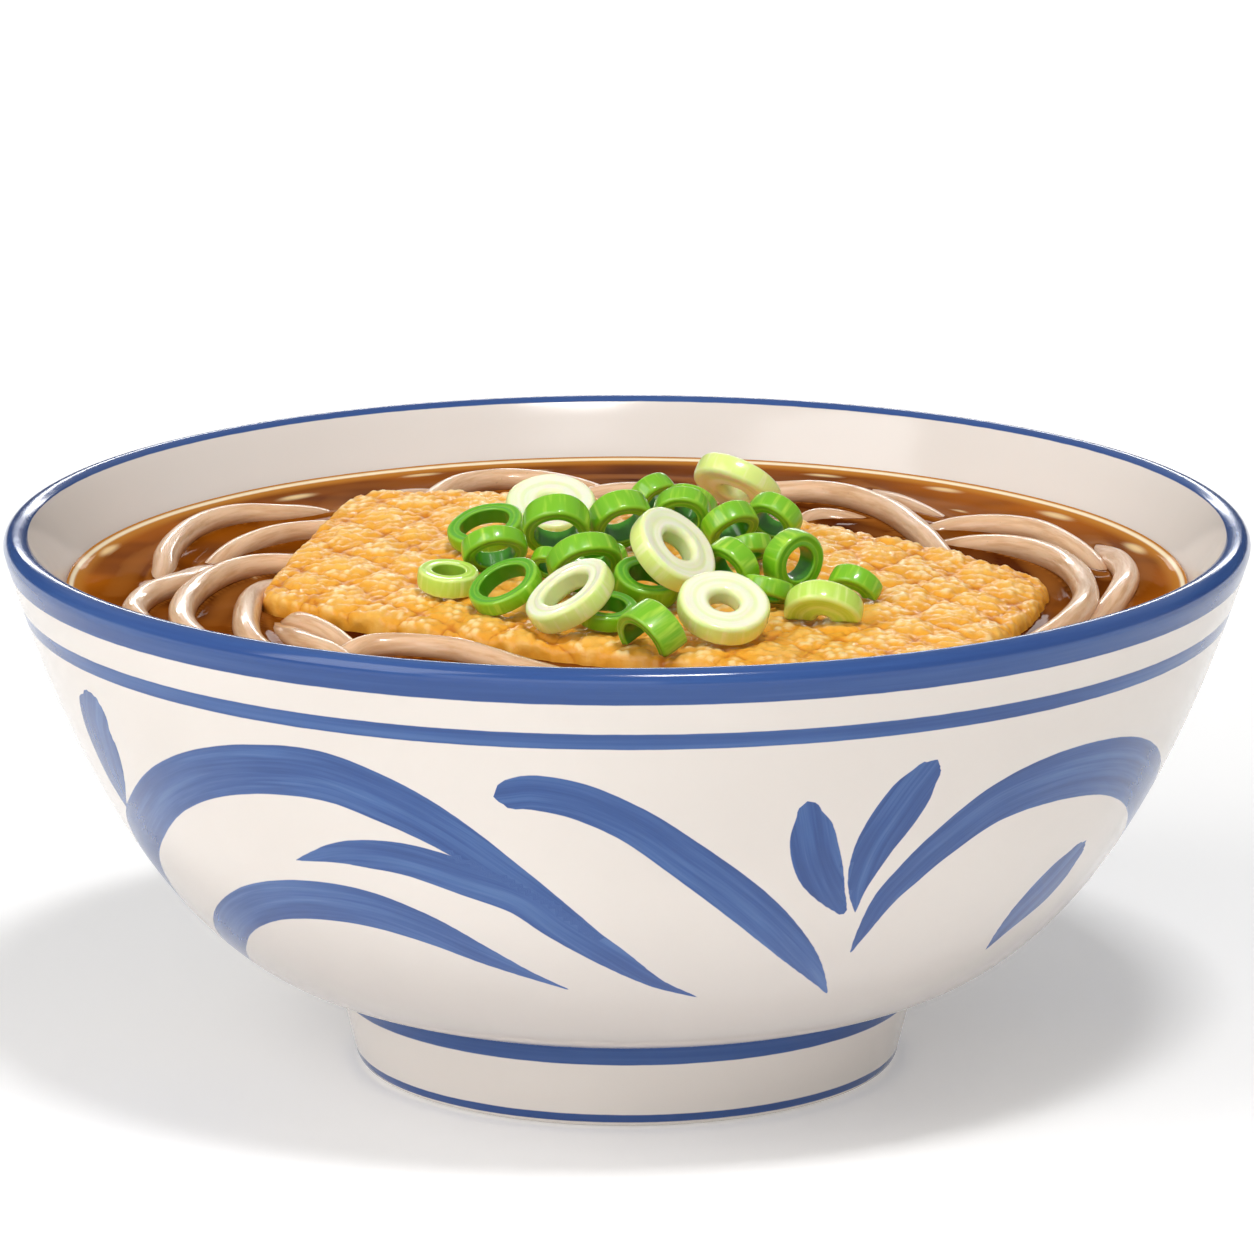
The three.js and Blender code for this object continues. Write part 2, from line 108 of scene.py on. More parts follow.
TOFU_THICKNESS = 8.0
TOFU_SQUARENESS = 22.0
TOFU_DOME = 1.0
TOFU_BACK_LIFT = 2.6
TOFU_DROOP = 1.2
CELL_WIDTH = 11.0
CELL_DEPTH = 17.0
CELL_RELIEF = 0.9
TOFU_BACK_LEFT = (-44, 35.5, 83.4)
TOFU_FRONT_LEFT = (-57.5, -21.5, 79.6)
TOFU_BACK_RIGHT = (66.5, -7, 78.7)
TOFU_FRONT_RIGHT = (42, -71, 78.9)
TOFU_BOW = {"back": 9, "front": 8, "left": 1, "right": 5}

# Noodles that show: x, y and height of the centre line over the bundle's top.
NOODLES = [
    [(-74, -2, -3), (-73, 8, -0.6), (-73, 16, 0.1), (-71.5, 26, 0.5), (-68, 36, 0.6),
     (-62, 43, 0.6), (-56, 45, 0.2), (-50, 49, -1.8)],
    [(-66, 12, -2), (-63.5, 17.5, -0.4), (-61, 22, 0.4), (-55, 29, 0.6), (-49, 32.5, 0.5),
     (-41, 35, -1)],
    [(-66, -48, -2.2), (-73, -36, 0.4), (-76, -25, 0.8), (-74.5, -15, 0.8), (-72, -9.5, 0.8),
     (-69.5, -3.5, 0.3), (-67, 4, -0.6), (-62, 10, -2.2)],
    [(-58, -54, -2), (-65, -43, 0.2), (-68, -33, 0.8), (-68.5, -22, 1), (-67.5, -14, 1),
     (-65.5, -6.5, 1), (-62, 1.5, 1), (-57.5, 6.3, 0.9), (-52, 8.3, 0.6), (-44, 9, -1)],
    [(-50, -57, -2), (-56, -47, 0.4), (-58, -38, 0.8), (-58.5, -24, 0.8), (-58, -14, 0.3),
     (-56, -6, -0.6), (-51, 2, -2)],
    [(-56, -20, -2.8), (-54, -26, -1.6), (-53, -31.5, -0.6), (-51, -38, 0), (-49, -43.5, 0.2),
     (-46, -49, 0), (-41, -57, -1), (-35, -66, -2.2)],
    [(-53, -23, -2.4), (-52, -26, -1.2), (-50.5, -31, -0.2), (-48.5, -34.5, 0.4),
     (-46, -38.5, 0.6), (-43.5, -43, 0.4), (-41, -48, -0.4), (-37, -55, -2)],
    [(-50, -56, -2.2), (-43, -51.5, -0.4), (-40, -48.5, 0.4), (-35, -47.5, 0.8),
     (-30, -48.5, 0.9), (-25, -51, 0.8), (-20, -56.5, 0.6), (-14, -63.5, 0.4), (-4, -71, 0.4),
     (10, -77, -1.6)],
    [(-62, -46, -2), (-52, -59, 0.6), (-36, -71, 1), (-16, -77.5, 0.8), (2, -80, 0.4),
     (20, -80, -2)],
    [(-30, -66, -2), (-16, -71, 0.8), (0, -74.5, 1), (16, -77, 0.8), (32, -76, -1.8)],
    [(-8, -80, -2), (10, -82, 0.4), (26, -80, 0.8), (42, -73, 1), (55, -62, 0.2), (62, -50, -2)],
    [(-46, 52, -2.6), (-41, 57.5, -1.4), (-37, 61, -1), (-33, 63, -1), (-29, 63, -1.6),
     (-24, 60, -2.8)],
    [(-36, 38, -2), (-34, 45, -0.4), (-31.5, 54, 0.5), (-27, 63, 0.9), (-21, 67, 0.9),
     (-14.5, 67, 0.8), (-8.5, 65, 0.2), (-3, 62, -1.4), (1, 59, -2.6)],
    [(-30, 42, -2), (-24, 48, -0.6), (-19.5, 51, 0.4), (-13, 53.5, 0.4), (-8, 52, -1),
     (-3, 47, -2.6)],
    [(-15, 55, -2.2), (-8, 58, -0.6), (-3, 58.6, 0.4), (0.5, 58.5, 0.5), (7, 58.5, 0.3),
     (15, 58, -0.8), (21, 56, -1.4), (25, 51, -0.9), (27, 46, -1), (29, 39, -2.2)],
    [(14, 56, -2), (20, 57.5, 0), (25, 57.7, 0.9), (30, 57.5, 1.1), (35, 55, 1.1), (39, 50, 1.1),
     (43, 42, 1), (46, 32, 0.8), (49, 20, 0.4), (51, 11, -1.6)],
    [(39, 68, -2.6), (42, 61.7, -1.4), (44, 58, -1.1), (46.5, 53, -1), (49, 48.5, -1.3),
     (52, 43, -2.4)],
    [(27, 38, -2.6), (28.5, 43.5, -1.2), (31, 45.7, -0.3), (33.5, 45.8, -0.1), (36, 45.5, -1.2),
     (39, 44, -2.6)],
    [(46, 35, -2.6), (51, 37.5, -1.2), (54, 37.2, 0.3), (59.5, 35.3, 0.7), (65.5, 30.5, 0.7),
     (70, 22, 0.5), (73, 15, -0.3), (75, 7, -1.8)],
    [(50, 27, -2.2), (54.5, 25, -0.4), (60.5, 20.3, 0.8), (66, 12.7, 1.1), (70, 1, 1.2),
     (71.2, -12, 1.2), (70.5, -23, 1.2), (67, -36, 0.9), (60, -49, 0.2), (51, -60, -2)],
    [(75, 27, -2.6), (76.6, 17, -0.8), (77.8, 9, 0.4), (78.3, 0, 0.9), (77.6, -7, 0.9),
     (75, -18.5, 0.6), (70.5, -30, -0.4), (65, -41, -2.2)],
]

# Scallion pieces in the nodes' order: colour, lean and heading of the axis in degrees,
# outer radius, wall, length, arc in degrees.
SCALLIONS = [
    ("green", 14, 290, 4.8, 2, 2.8, 360),
    ("green", 25, 60, 4, 1.9, 3, 360),
    ("green", 16, 200, 4.2, 1.8, 3, 360),
    ("lime", 9, 290, 4.8, 2.2, 3.2, 360),
    ("green", 21, 234, 6, 2.1, 2.8, 360),
    ("green", 25, 292, 5.1, 2.2, 3.8, 360),
    ("white", 23, 270, 7.3, 5.4, 3, 360),
    ("green", 54, 90, 5.4, 1.9, 4.2, 360),
    ("green", 45, 100, 5.1, 2, 3, 360),
    ("green", 50, 65, 2.9, 1.5, 2.6, 360),
    ("green", 56, 110, 5, 1.9, 4.2, 360),
    ("green", 84, 128, 4.9, 2.2, 3.8, 360),
    ("green", 70, 47, 4.6, 2, 3.6, 360),
    ("green", 52, 123, 4.4, 1.9, 3.6, 360),
    ("green", 30, 110, 3.6, 1.8, 3, 360),
    ("green", 50, 60, 4.2, 2.6, 3.4, 200),
    ("lime", 50, 80, 6, 5.2, 4, 180),
    ("green", 60, 58, 4.3, 1.9, 3.6, 360),
    ("green", 64, 84, 4.6, 1.9, 3.6, 360),
    ("white", 42, 54, 7, 5, 3.6, 360),
    ("green", 48, 66, 4.2, 1.9, 3.2, 360),
    ("green", 58, 131, 3.8, 1.9, 3.4, 360),
    ("green", 52, 108, 5.7, 2, 3.6, 360),
    ("green", 32, 216, 5.8, 1.9, 2.8, 360),
    ("white", 33, 205, 7.4, 3.4, 3.6, 360),
    ("white", 29, 289, 7.1, 4.8, 3.6, 360),
    ("green", 66, 38, 5.6, 1.7, 5, 200),
    ("white", 45, 326, 7.4, 4.6, 3.6, 360),
]
SOLID_SIDES = 12  # facets of a scallion's solid

# Brush strokes on the wall: degrees round the bowl from the front, height, half width.
STROKES = {
    "side_leaf": [(-62, 66.5, 3.6), (-63, 64.5, 5), (-64, 60.5, 5.6), (-65, 56.5, 4.8),
                  (-66, 52.5, 3), (-66.5, 48.5, 0.2)],
    "tall_arc": [(-76, 28, 3.6), (-72.5, 36, 4.2), (-68, 42.5, 4.4), (-60.5, 49.5, 4.2),
                 (-51.5, 57.5, 4.1), (-44, 62.3, 4.2), (-36.5, 65, 4.4), (-29.5, 65.5, 4.6),
                 (-23, 62.5, 4.4), (-18, 58.5, 3.7), (-11.5, 51, 2.6), (-7, 45.5, 1.7),
                 (-3, 40.5, 0.9), (0, 37.2, 0.1)],
    "middle_arc": [(-36, 49.7, 0.1), (-31, 52, 1.7), (-27.5, 52.8, 2.6), (-22.5, 52.7, 3.2),
                   (-16.5, 50.4, 3.6), (-11, 47.6, 3.7), (-7, 42.7, 3.2), (-1.5, 36.8, 2.4),
                   (3.5, 31.9, 1.1), (8.6, 28.8, 0.1)],
    "low_arc": [(-72, 19.5, 1.6), (-66, 24, 2.8), (-59, 29.5, 3.3), (-50.5, 36, 3.4),
                (-43.5, 40.2, 3.7), (-36, 42.6, 4), (-29, 42.8, 4), (-22.5, 40.5, 3.3),
                (-16, 36.2, 2), (-11.5, 33.2, 0.9), (-7, 30.5, 0.1)],
    "front_arc": [(-10.6, 65.5, 2.7), (-9, 65.9, 3.1), (-5, 64.9, 3.3), (0.3, 61, 3.3),
                  (6, 54.3, 3.5), (12.8, 45.7, 3.5), (18.7, 37.5, 2.7), (22.3, 32.4, 1.6),
                  (25.8, 27.3, 0.1)],
    "left_leaf": [(17.4, 61.8, 1.8), (18, 58.5, 3.3), (18.8, 54.5, 3.7), (20, 50.5, 3.4),
                  (21.5, 47, 2.3), (23.3, 43.6, 0.9)],
    "right_leaf": [(29, 66, 2.6), (28, 63.5, 3.8), (26.5, 59, 4.1), (25.3, 55, 3.6),
                   (24.6, 50.5, 2.6), (24.5, 46.8, 1.4), (25, 43, 0.1)],
    "high_arc": [(26.3, 35.2, 0.1), (26.7, 38.2, 0.9), (28.2, 44.8, 2.2), (30.2, 48.7, 2.8),
                 (33, 53, 3.3), (38.7, 58.8, 4.1), (46, 60.9, 4.8), (56, 59.5, 5.1),
                 (66, 54, 5), (75, 46, 4.6), (81, 38, 3.8), (86, 30, 2.6)],
    "far_leaf": [(57, 43.8, 2.9), (56, 42, 4.3), (54.2, 39, 4.8), (52.3, 36, 3.9),
                 (51, 33, 2.2), (50.3, 29.3, 0.1)],
}
PATTERN_TURNS = (0.0, 180.0)  # the front's strokes, and the same again behind
STROKE_LAYERS = (  # strokes of one layer keep clear of each other
    ("tall_arc", "front_arc", "right_leaf", "far_leaf"),
    ("side_leaf", "middle_arc", "left_leaf"),
    ("low_arc", "high_arc"),
)
# Painted shade: the glaze darkens low on the belly and clears again above the foot.
BELLY_PAINTED_SHADE_FROM_TOP = (50.0 * MM, 18.0 * MM)  # heights between which the glaze darkens
BELLY_PAINTED_SHADE_FROM_BASE = (11.5 * MM, 13.5 * MM)
THICK_PAINT_ABOVE = (78.5 * MM, 79.5 * MM)  # the rim's and the foot's bands are painted thick
THICK_PAINT_BELOW = (16.5 * MM, 15.5 * MM)
RIM_BAND_LOW = 80.7
RIM_BAND_INSIDE = 85.3
THIN_BAND = (73.4, 75.9)
FOOT_BAND_LOW = 10.8
FOOT_LINE = (0.9, 2.2)

FAR = 99.0  # farther than any distance on the bowl
NO_STROKE = (9.0, -9.0, 0.0)  # what a point has that no stroke reaches
STROKE_SPACING = 0.4
FINEST_STROKE = 0.02
STROKE_REACH = 8.0  # points farther from a stroke aren't compared with it
STROKE_MARGIN = 2.0  # a stroke is known this far past its edge
WALL_SLOPE = -0.5
STREAKS_ALONG = 0.03  # streaks in the paint, per mm
STREAKS_ACROSS = 0.55
STREAKS_APART = 5.3  # from one stroke to the next, so that no two are alike
BAND_STREAKS = 0.012

BOWL_COLUMNS = 480
WALL_ROWS = 112
INSIDE_STEPS = 34
LIP_STEPS = 18
FOOT_SIDE_STEPS = 14
FOOT_EDGE_STEPS = 7

# ---- colours, linear ----

GLAZE = (0.78, 0.72, 0.665)
GLAZE_SHADE = (0.70, 0.64, 0.59)
# Painted shade of the glaze, low on the belly.
GLAZE_PAINTED_SHADE = (0.56, 0.51, 0.475)
BISQUE = (0.58, 0.52, 0.45)
COBALT_DARK = (0.025, 0.068, 0.235)
COBALT = (0.041, 0.105, 0.305)
COBALT_PALE = (0.078, 0.160, 0.375)
BROTH_DEEP = (0.064, 0.009, 0.0004)
BROTH_AMBER = (0.40, 0.105, 0.003)
BROTH_OVER = (0.33, 0.108, 0.016)
# Painted light on the meniscus along the wall: a golden band, then a cream highlight line.
BROTH_MENISCUS_LIGHT = (0.50, 0.205, 0.035)
BROTH_RIM_HIGHLIGHT = (0.88, 0.750, 0.520)
# Painted highlight: pale gold glints on the oil drops.
BROTH_OIL_GLINT = (0.92, 0.690, 0.360)
NOODLE_PALE = (0.80, 0.53, 0.33)
NOODLE_MID = (0.64, 0.37, 0.19)
# Soaked in the soup, and painted shade with the broth's reflection low on the noodle.
NOODLE_SOAK_AND_SHADE = (0.27, 0.095, 0.022)
NOODLE_SPECK = (0.22, 0.11, 0.06)
# Painted light: pale highlights on the blisters' tips and lighter peaks. The groove colour is
# painted shade in the grooves and also mottles the skin at random.
TOFU_TIP_HIGHLIGHT = (0.96, 0.74, 0.37)
TOFU_PEAK_LIGHT = (0.90, 0.50, 0.10)
TOFU_GOLD = (0.82, 0.37, 0.036)
TOFU_GROOVE_SHADE_AND_MOTTLE = (0.58, 0.190, 0.016)
TOFU_BROWN = (0.36, 0.095, 0.009)

# Scallions: outer skin, its light streaks, the cut face, its edges, the inside, darkened as painted
# shade.
SCALLION_COLOURS = {
    "green": (
        (0.20, 0.52, 0.011), (0.46, 0.72, 0.06), (0.10, 0.40, 0.007), (0.30, 0.60, 0.03),
        (0.045, 0.26, 0.004),
    ),
    "lime": (
        (0.54, 0.78, 0.11), (0.76, 0.90, 0.32), (0.50, 0.76, 0.085), (0.76, 0.90, 0.30),
        (0.28, 0.52, 0.04),
    ),
    "white": (
        (0.76, 0.88, 0.27), (0.92, 0.94, 0.52), (0.93, 0.92, 0.72), (0.78, 0.88, 0.36),
        (0.74, 0.79, 0.38),
    ),
}

SCALLION_TRANSLUCENCE = {"green": 0.3, "lime": 0.3, "white": 0.6}

# ---- numbers ----

CURVE_STEPS = 24  # between two of a curve's points
BLOCK = 4000  # places that are compared with a line at once


def hashed(ix, iy, iz, seed):
    """A number from 0 to 1 for each cell of a grid, the same on every run."""
    value = ix.astype(np.int64) * 374761393 + iy.astype(np.int64) * 668265263
    value = value + iz.astype(np.int64) * 2147483647 + seed * 1274126177
    value = (value ^ (value >> 13)) * 1274126177
    value = (value ^ (value >> 16)) & 0xFFFFFF
    return value / float(0xFFFFFF)


def noise(points, scale, seed):
    """Smooth noise from -1 to 1, with features of the given size."""
    p = np.asarray(points, dtype=float) / scale
    base = np.floor(p)
    f = p - base
    f = f * f * (3 - 2 * f)
    total = 0
    for corner in range(8):
        step = np.array([corner & 1, corner >> 1 & 1, corner >> 2 & 1])
        cell = (base + step).astype(np.int64)
        weight = np.prod(np.where(step == 1, f, 1 - f), axis=-1)
        total = total + weight * hashed(cell[..., 0], cell[..., 1], cell[..., 2], seed)
    return total * 2 - 1


def blisters(x, y, cell, seed):
    """Distance to the nearest and second nearest of scattered points, over the cell size."""
    gx, gy = np.floor(x / cell), np.floor(y / cell)
    near = np.full(x.shape, 9.0)
    second = np.full(x.shape, 9.0)
    for dx in (-1, 0, 1):
        for dy in (-1, 0, 1):
            cx, cy = (gx + dx).astype(np.int64), (gy + dy).astype(np.int64)
            zero = np.zeros_like(cx)
            px = cx + 0.15 + 0.7 * hashed(cx, cy, zero, seed)
            py = cy + 0.15 + 0.7 * hashed(cx, cy, zero + 7, seed)
            distance = np.hypot(px - x / cell, py - y / cell)
            second = np.minimum(second, np.maximum(near, distance))
            near = np.minimum(near, distance)
    return near, second


def flat_points(x, y):
    return np.stack([x, y, np.zeros_like(x)], -1)


def smoothstep(low, high, value):
    t = np.clip((value - low) / (high - low), 0, 1)
    return t * t * (3 - 2 * t)


def bezier(start, pull, end_pull, end, steps):
    t = np.linspace(0, 1, steps + 1)[:, None]
    start, pull, end_pull, end = (np.array(p, dtype=float) for p in (start, pull, end_pull, end))
    return (
        (1 - t) ** 3 * start + 3 * (1 - t) ** 2 * t * pull
        + 3 * (1 - t) * t * t * end_pull + t ** 3 * end
    )


def run_along(points):
    """How far along a line each of its points lies."""
    return np.concatenate([[0], np.cumsum(np.linalg.norm(np.diff(points, axis=0), axis=1))])


def unit(vectors):
    return vectors / np.linalg.norm(vectors, axis=1)[:, None]


def round_angles(count):
    return 2 * np.pi * np.arange(count) / count


def in_blocks(rows, size):
    """The rows, a block at a time, so that comparing each with a whole line takes little memory."""
    return (rows[start:start + size] for start in range(0, len(rows), size))


def rows_near(points, line, reach):
    """Rows of the points that lie in the box round a line, widened by the reach."""
    low = line.min(axis=0) - reach
    high = line.max(axis=0) + reach
    return np.nonzero(np.all((points > low) & (points < high), axis=1))[0]


def even(points, spacing):
    """The same line with evenly spaced points."""
    points = np.asarray(points, dtype=float)
    run = run_along(points)
    count = max(2, int(round(run[-1] / spacing)) + 1)
    at = np.linspace(0, run[-1], count)
    return np.stack([np.interp(at, run, points[:, k]) for k in range(points.shape[1])], axis=1)


def smooth_line(points, spacing):
    """A centripetal Catmull-Rom curve through the points, with evenly spaced points of its own."""
    p = np.asarray(points, dtype=float)
    p = np.vstack([2 * p[0] - p[1], p, 2 * p[-1] - p[-2]])
    line = []
    t = np.linspace(0, 1, CURVE_STEPS + 1)[:-1, None]
    for k in range(1, len(p) - 2):
        gaps = [max(1e-6, np.linalg.norm(p[k + j + 1] - p[k + j]) ** 0.5) for j in (-1, 0, 1)]
        a = (p[k] - p[k - 1]) / gaps[0] - (p[k + 1] - p[k - 1]) / (gaps[0] + gaps[1])
        b = (p[k + 1] - p[k]) / gaps[1] - (p[k + 2] - p[k]) / (gaps[1] + gaps[2])
        step = (p[k + 1] - p[k]) / gaps[1]
        start = (a + step) * gaps[1]
        end = (b + (p[k + 2] - p[k + 1]) / gaps[2]) * gaps[1]
        line.append(
            p[k] + start * t + (3 * (p[k + 1] - p[k]) - 2 * start - end) * t ** 2
            + (2 * (p[k] - p[k + 1]) + start + end) * t ** 3
        )
    line.append(p[-2][None])
    return even(np.vstack(line), spacing)


# ---- meshes ----


def grid_faces(rows, columns, round_columns=True, round_rows=False, first=0):
    """Quads between rows of points, the first of which has the given number."""
    r = np.arange(rows if round_rows else rows - 1)
    c = np.arange(columns if round_columns else columns - 1)
    r, c = np.meshgrid(r, c, indexing="ij")
    r1, c1 = (r + 1) % rows, (c + 1) % columns
    quads = np.stack([r * columns + c, r * columns + c1, r1 * columns + c1, r1 * columns + c], -1)
    return quads.reshape(-1, 4) + first


def fan_faces(tip, loop):
    """Triangles that close a loop of points with one in its middle."""
    loop = np.asarray(loop)
    return np.stack([np.full(len(loop), tip), loop, np.roll(loop, -1)], -1)


def closed_grid(rows, columns, first=0):
    """A grid that goes round, closed at both ends by the two points that follow its own."""
    count = rows * columns
    ring = np.arange(columns)
    return [
        grid_faces(rows, columns, first=first),
        fan_faces(first + count, first + ring[::-1]),
        fan_faces(first + count + 1, first + count - columns + ring),
    ]


def enclosed(points, faces):
    """The volume inside the faces, less than 0 where they point inwards."""
    volume = 0.0
    for part in faces:
        a = points[part[:, 0]]
        for k in range(1, part.shape[1] - 1):
            b, c = points[part[:, k]], points[part[:, k + 1]]
            volume += np.einsum("ij,ij->", a, np.cross(b, c)) / 6
    return volume


def make_piece(name, points, faces, material, numbers=None, vectors=None, closed=True):
    """A smooth mesh in metres from points in mm and lists of triangles or quads."""
    points = np.asarray(points, dtype=float)
    if closed and enclosed(points, faces) < 0:
        faces = [part[:, ::-1] for part in faces]
    mesh = bpy.data.meshes.new(name)
    mesh.vertices.add(len(points))
    mesh.vertices.foreach_set("co", (points * MM).astype(np.float32).ravel())
    sizes = np.concatenate([np.full(len(part), part.shape[1]) for part in faces])
    corners = np.concatenate([part.ravel() for part in faces]).astype(np.int32)
    mesh.loops.add(len(corners))
    mesh.loops.foreach_set("vertex_index", corners)
    mesh.polygons.add(len(sizes))
    starts = np.concatenate([[0], np.cumsum(sizes)[:-1]]).astype(np.int32)
    mesh.polygons.foreach_set("loop_start", starts)
    mesh.update(calc_edges=True)
    mesh.polygons.foreach_set("use_smooth", np.ones(len(sizes), dtype=bool))
    for key, values in (numbers or {}).items():
        layer = mesh.attributes.new(key, "FLOAT", "POINT")
        layer.data.foreach_set("value", np.asarray(values, dtype=np.float32).ravel())
    for key, values in (vectors or {}).items():
        layer = mesh.attributes.new(key, "FLOAT_VECTOR", "POINT")
        layer.data.foreach_set("vector", np.asarray(values, dtype=np.float32).ravel())
    mesh.materials.append(material)
    piece = bpy.data.objects.new(name, mesh)
    bpy.context.collection.objects.link(piece)
    return piece


def show(piece, slot, *nodes):
    """Attaches the piece to the root body and lets it stand for the nodes, hiding their solids. The
    slot is not used.
    """
    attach(piece, "root")
    if nodes:
        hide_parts(*nodes)


# ---- materials ----


class Look:
    """A procedural material: each method adds a node and gives back its output."""

    def __init__(self, name):
        self.material = bpy.data.materials.new(name)
        self.material.use_nodes = True
        self.nodes = self.material.node_tree.nodes
        self.links = self.material.node_tree.links
        self.nodes.clear()
        self.shader = self.nodes.new("ShaderNodeBsdfPrincipled")
        output = self.nodes.new("ShaderNodeOutputMaterial")
        self.links.new(self.shader.outputs[0], output.inputs["Surface"])

    def put(self, socket, value):
        if isinstance(value, bpy.types.NodeSocket):
            self.links.new(value, socket)
        elif isinstance(value, tuple) and len(value) == 3 and socket.type == "RGBA":
            socket.default_value = (*value, 1)
        else:
            socket.default_value = value

    def set(self, **values):
        for key, value in values.items():
            self.put(self.shader.inputs[key.replace("_", " ")], value)

    def attribute(self, name, output):
        node = self.nodes.new("ShaderNodeAttribute")
        node.attribute_name = name
        return node.outputs[output]

    def number(self, name):
        return self.attribute(name, "Fac")

    def vector(self, name):
        return self.attribute(name, "Vector")

    def place(self):
        return self.nodes.new("ShaderNodeTexCoord").outputs["Object"]

    def axes(self, vector):
        node = self.nodes.new("ShaderNodeSeparateXYZ")
        self.put(node.inputs[0], vector)
        return node.outputs

    def scaled(self, vector, amount):
        node = self.nodes.new("ShaderNodeVectorMath")
        node.operation = "MULTIPLY"
        self.put(node.inputs[0], vector)
        node.inputs[1].default_value = amount
        return node.outputs[0]

    def noise(self, vector, scale, detail=2.0, rough=0.5, distortion=0.0):
        node = self.nodes.new("ShaderNodeTexNoise")
        self.put(node.inputs["Vector"], vector)
        node.inputs["Scale"].default_value = scale
        node.inputs["Detail"].default_value = detail
        node.inputs["Roughness"].default_value = rough
        node.inputs["Distortion"].default_value = distortion
        return node.outputs["Fac"]

    def math(self, operation, a, b=0.0):
        node = self.nodes.new("ShaderNodeMath")
        node.operation = operation
        self.put(node.inputs[0], a)
        self.put(node.inputs[1], b)
        return node.outputs[0]

    def times(self, a, b):
        return self.math("MULTIPLY", a, b)

    def span(self, value, low, high, to_low=0.0, to_high=1.0):
        """The value carried smoothly from one range to another, and kept within it."""
        node = self.nodes.new("ShaderNodeMapRange")
        node.interpolation_type = "SMOOTHSTEP"
        self.put(node.inputs["Value"], value)
        node.inputs["From Min"].default_value = low
        node.inputs["From Max"].default_value = high
        node.inputs["To Min"].default_value = to_low
        node.inputs["To Max"].default_value = to_high
        return node.outputs["Result"]

    def mix(self, amount, a, b):
        node = self.nodes.new("ShaderNodeMix")
        node.data_type = "RGBA"
        self.put(node.inputs["Factor"], amount)
        self.put(node.inputs[6], a)
        self.put(node.inputs[7], b)
        return node.outputs[2]

    def bump(self, height, distance, strength=1.0):
        node = self.nodes.new("ShaderNodeBump")
        self.put(node.inputs["Height"], height)
        node.inputs["Distance"].default_value = distance
        node.inputs["Strength"].default_value = strength
        return node.outputs["Normal"]


def glaze_look():
    """White glaze, cooler in clouds and with painted shade low on the belly, with cobalt brushed
    over it.
    """
    look = Look("glazed_stoneware")
    place = look.place()
    height = look.axes(place)["Z"]
    cloud = look.span(look.noise(place, 14, 3), 0.3, 0.7)
    white = look.mix(look.times(cloud, 0.5), GLAZE, GLAZE_SHADE)
    # Painted shade low on the belly.
    belly = look.times(
        look.span(height, *BELLY_PAINTED_SHADE_FROM_TOP), look.span(height, *BELLY_PAINTED_SHADE_FROM_BASE)
    )
    white = look.mix(belly, white, GLAZE_PAINTED_SHADE)
    brush = look.vector("brush")
    streak = look.times(look.noise(brush, 1.0, 3, 0.6), 0.7)
    fine = look.times(look.noise(look.scaled(brush, (1.0, 3.2, 1.0)), 1.0, 2, 0.6), 0.3)
    strength = look.math("ADD", streak, fine)
    blue = look.mix(look.span(strength, 0.32, 0.60), COBALT_DARK, COBALT)
    blue = look.mix(look.span(strength, 0.48, 0.76), blue, COBALT_PALE)
    thick = look.math(
        "MAXIMUM", look.span(height, *THICK_PAINT_ABOVE), look.span(height, *THICK_PAINT_BELOW)
    )
    blue = look.mix(look.times(thick, 0.5), blue, COBALT_DARK)
    depth = look.number("paint")
    for k in range(len(STROKE_LAYERS)):
        stroke = look.axes(look.vector(f"stroke_{k}"))
        across = look.math("ABSOLUTE", stroke["X"])
        depth = look.math("MINIMUM", depth, look.math("SUBTRACT", across, stroke["Y"]))
    edge_wave = look.times(look.math("SUBTRACT", look.noise(place, 260, 2), 0.5), 0.14)
    depth = look.math("ADD", depth, edge_wave)
    painted = look.span(depth, -0.08, 0.10, 1.0, 0.0)
    bare = look.number("bare")
    color = look.mix(painted, white, blue)
    color = look.mix(bare, color, BISQUE)
    look.set(
        Base_Color=color,
        Roughness=look.span(bare, 0.0, 1.0, 0.16, 0.8),
        IOR=1.5,
        Specular_IOR_Level=0.35,
        Coat_Weight=0.2,
        Coat_Roughness=0.08,
        Subsurface_Weight=0.06,
        Subsurface_Radius=(0.8, 0.6, 0.5),
        Subsurface_Scale=0.002,
        Normal=look.bump(look.noise(place, 70, 2, 0.5), 0.0004, 0.25),
    )
    return look.material


def noodle_look():
    """Pale brown, with a grain along the noodle, dark specks and a darker foot near and in the
    soup, partly soaked and partly painted shade and reflection of the broth.
    """
    look = Look("buckwheat_noodle")
    place = look.place()
    along = look.vector("along")
    grain = look.noise(look.scaled(along, (0.12, 1.4, 1.0)), 1.0, 3, 0.6)
    color = look.mix(look.span(grain, 0.35, 0.72), NOODLE_PALE, NOODLE_MID)
    speck = look.span(look.noise(place, 1700, 2, 0.6), 0.68, 0.76)
    color = look.mix(look.times(speck, 0.25), color, NOODLE_SPECK)
    color = look.mix(look.number("soak_and_shade"), color, NOODLE_SOAK_AND_SHADE)
    look.set(
        Base_Color=color,
        Roughness=0.26,
        IOR=1.42,
        Specular_IOR_Level=0.3,
        Coat_Weight=0.35,
        Coat_Roughness=0.05,
        Coat_IOR=1.45,
        Subsurface_Weight=0.15,
        Subsurface_Radius=(1.0, 0.5, 0.25),
        Subsurface_Scale=0.0012,
        Normal=look.bump(look.noise(look.scaled(along, (0.16, 1.2, 1.0)), 1.0, 2), 0.0003, 0.18),
    )
    return look.material


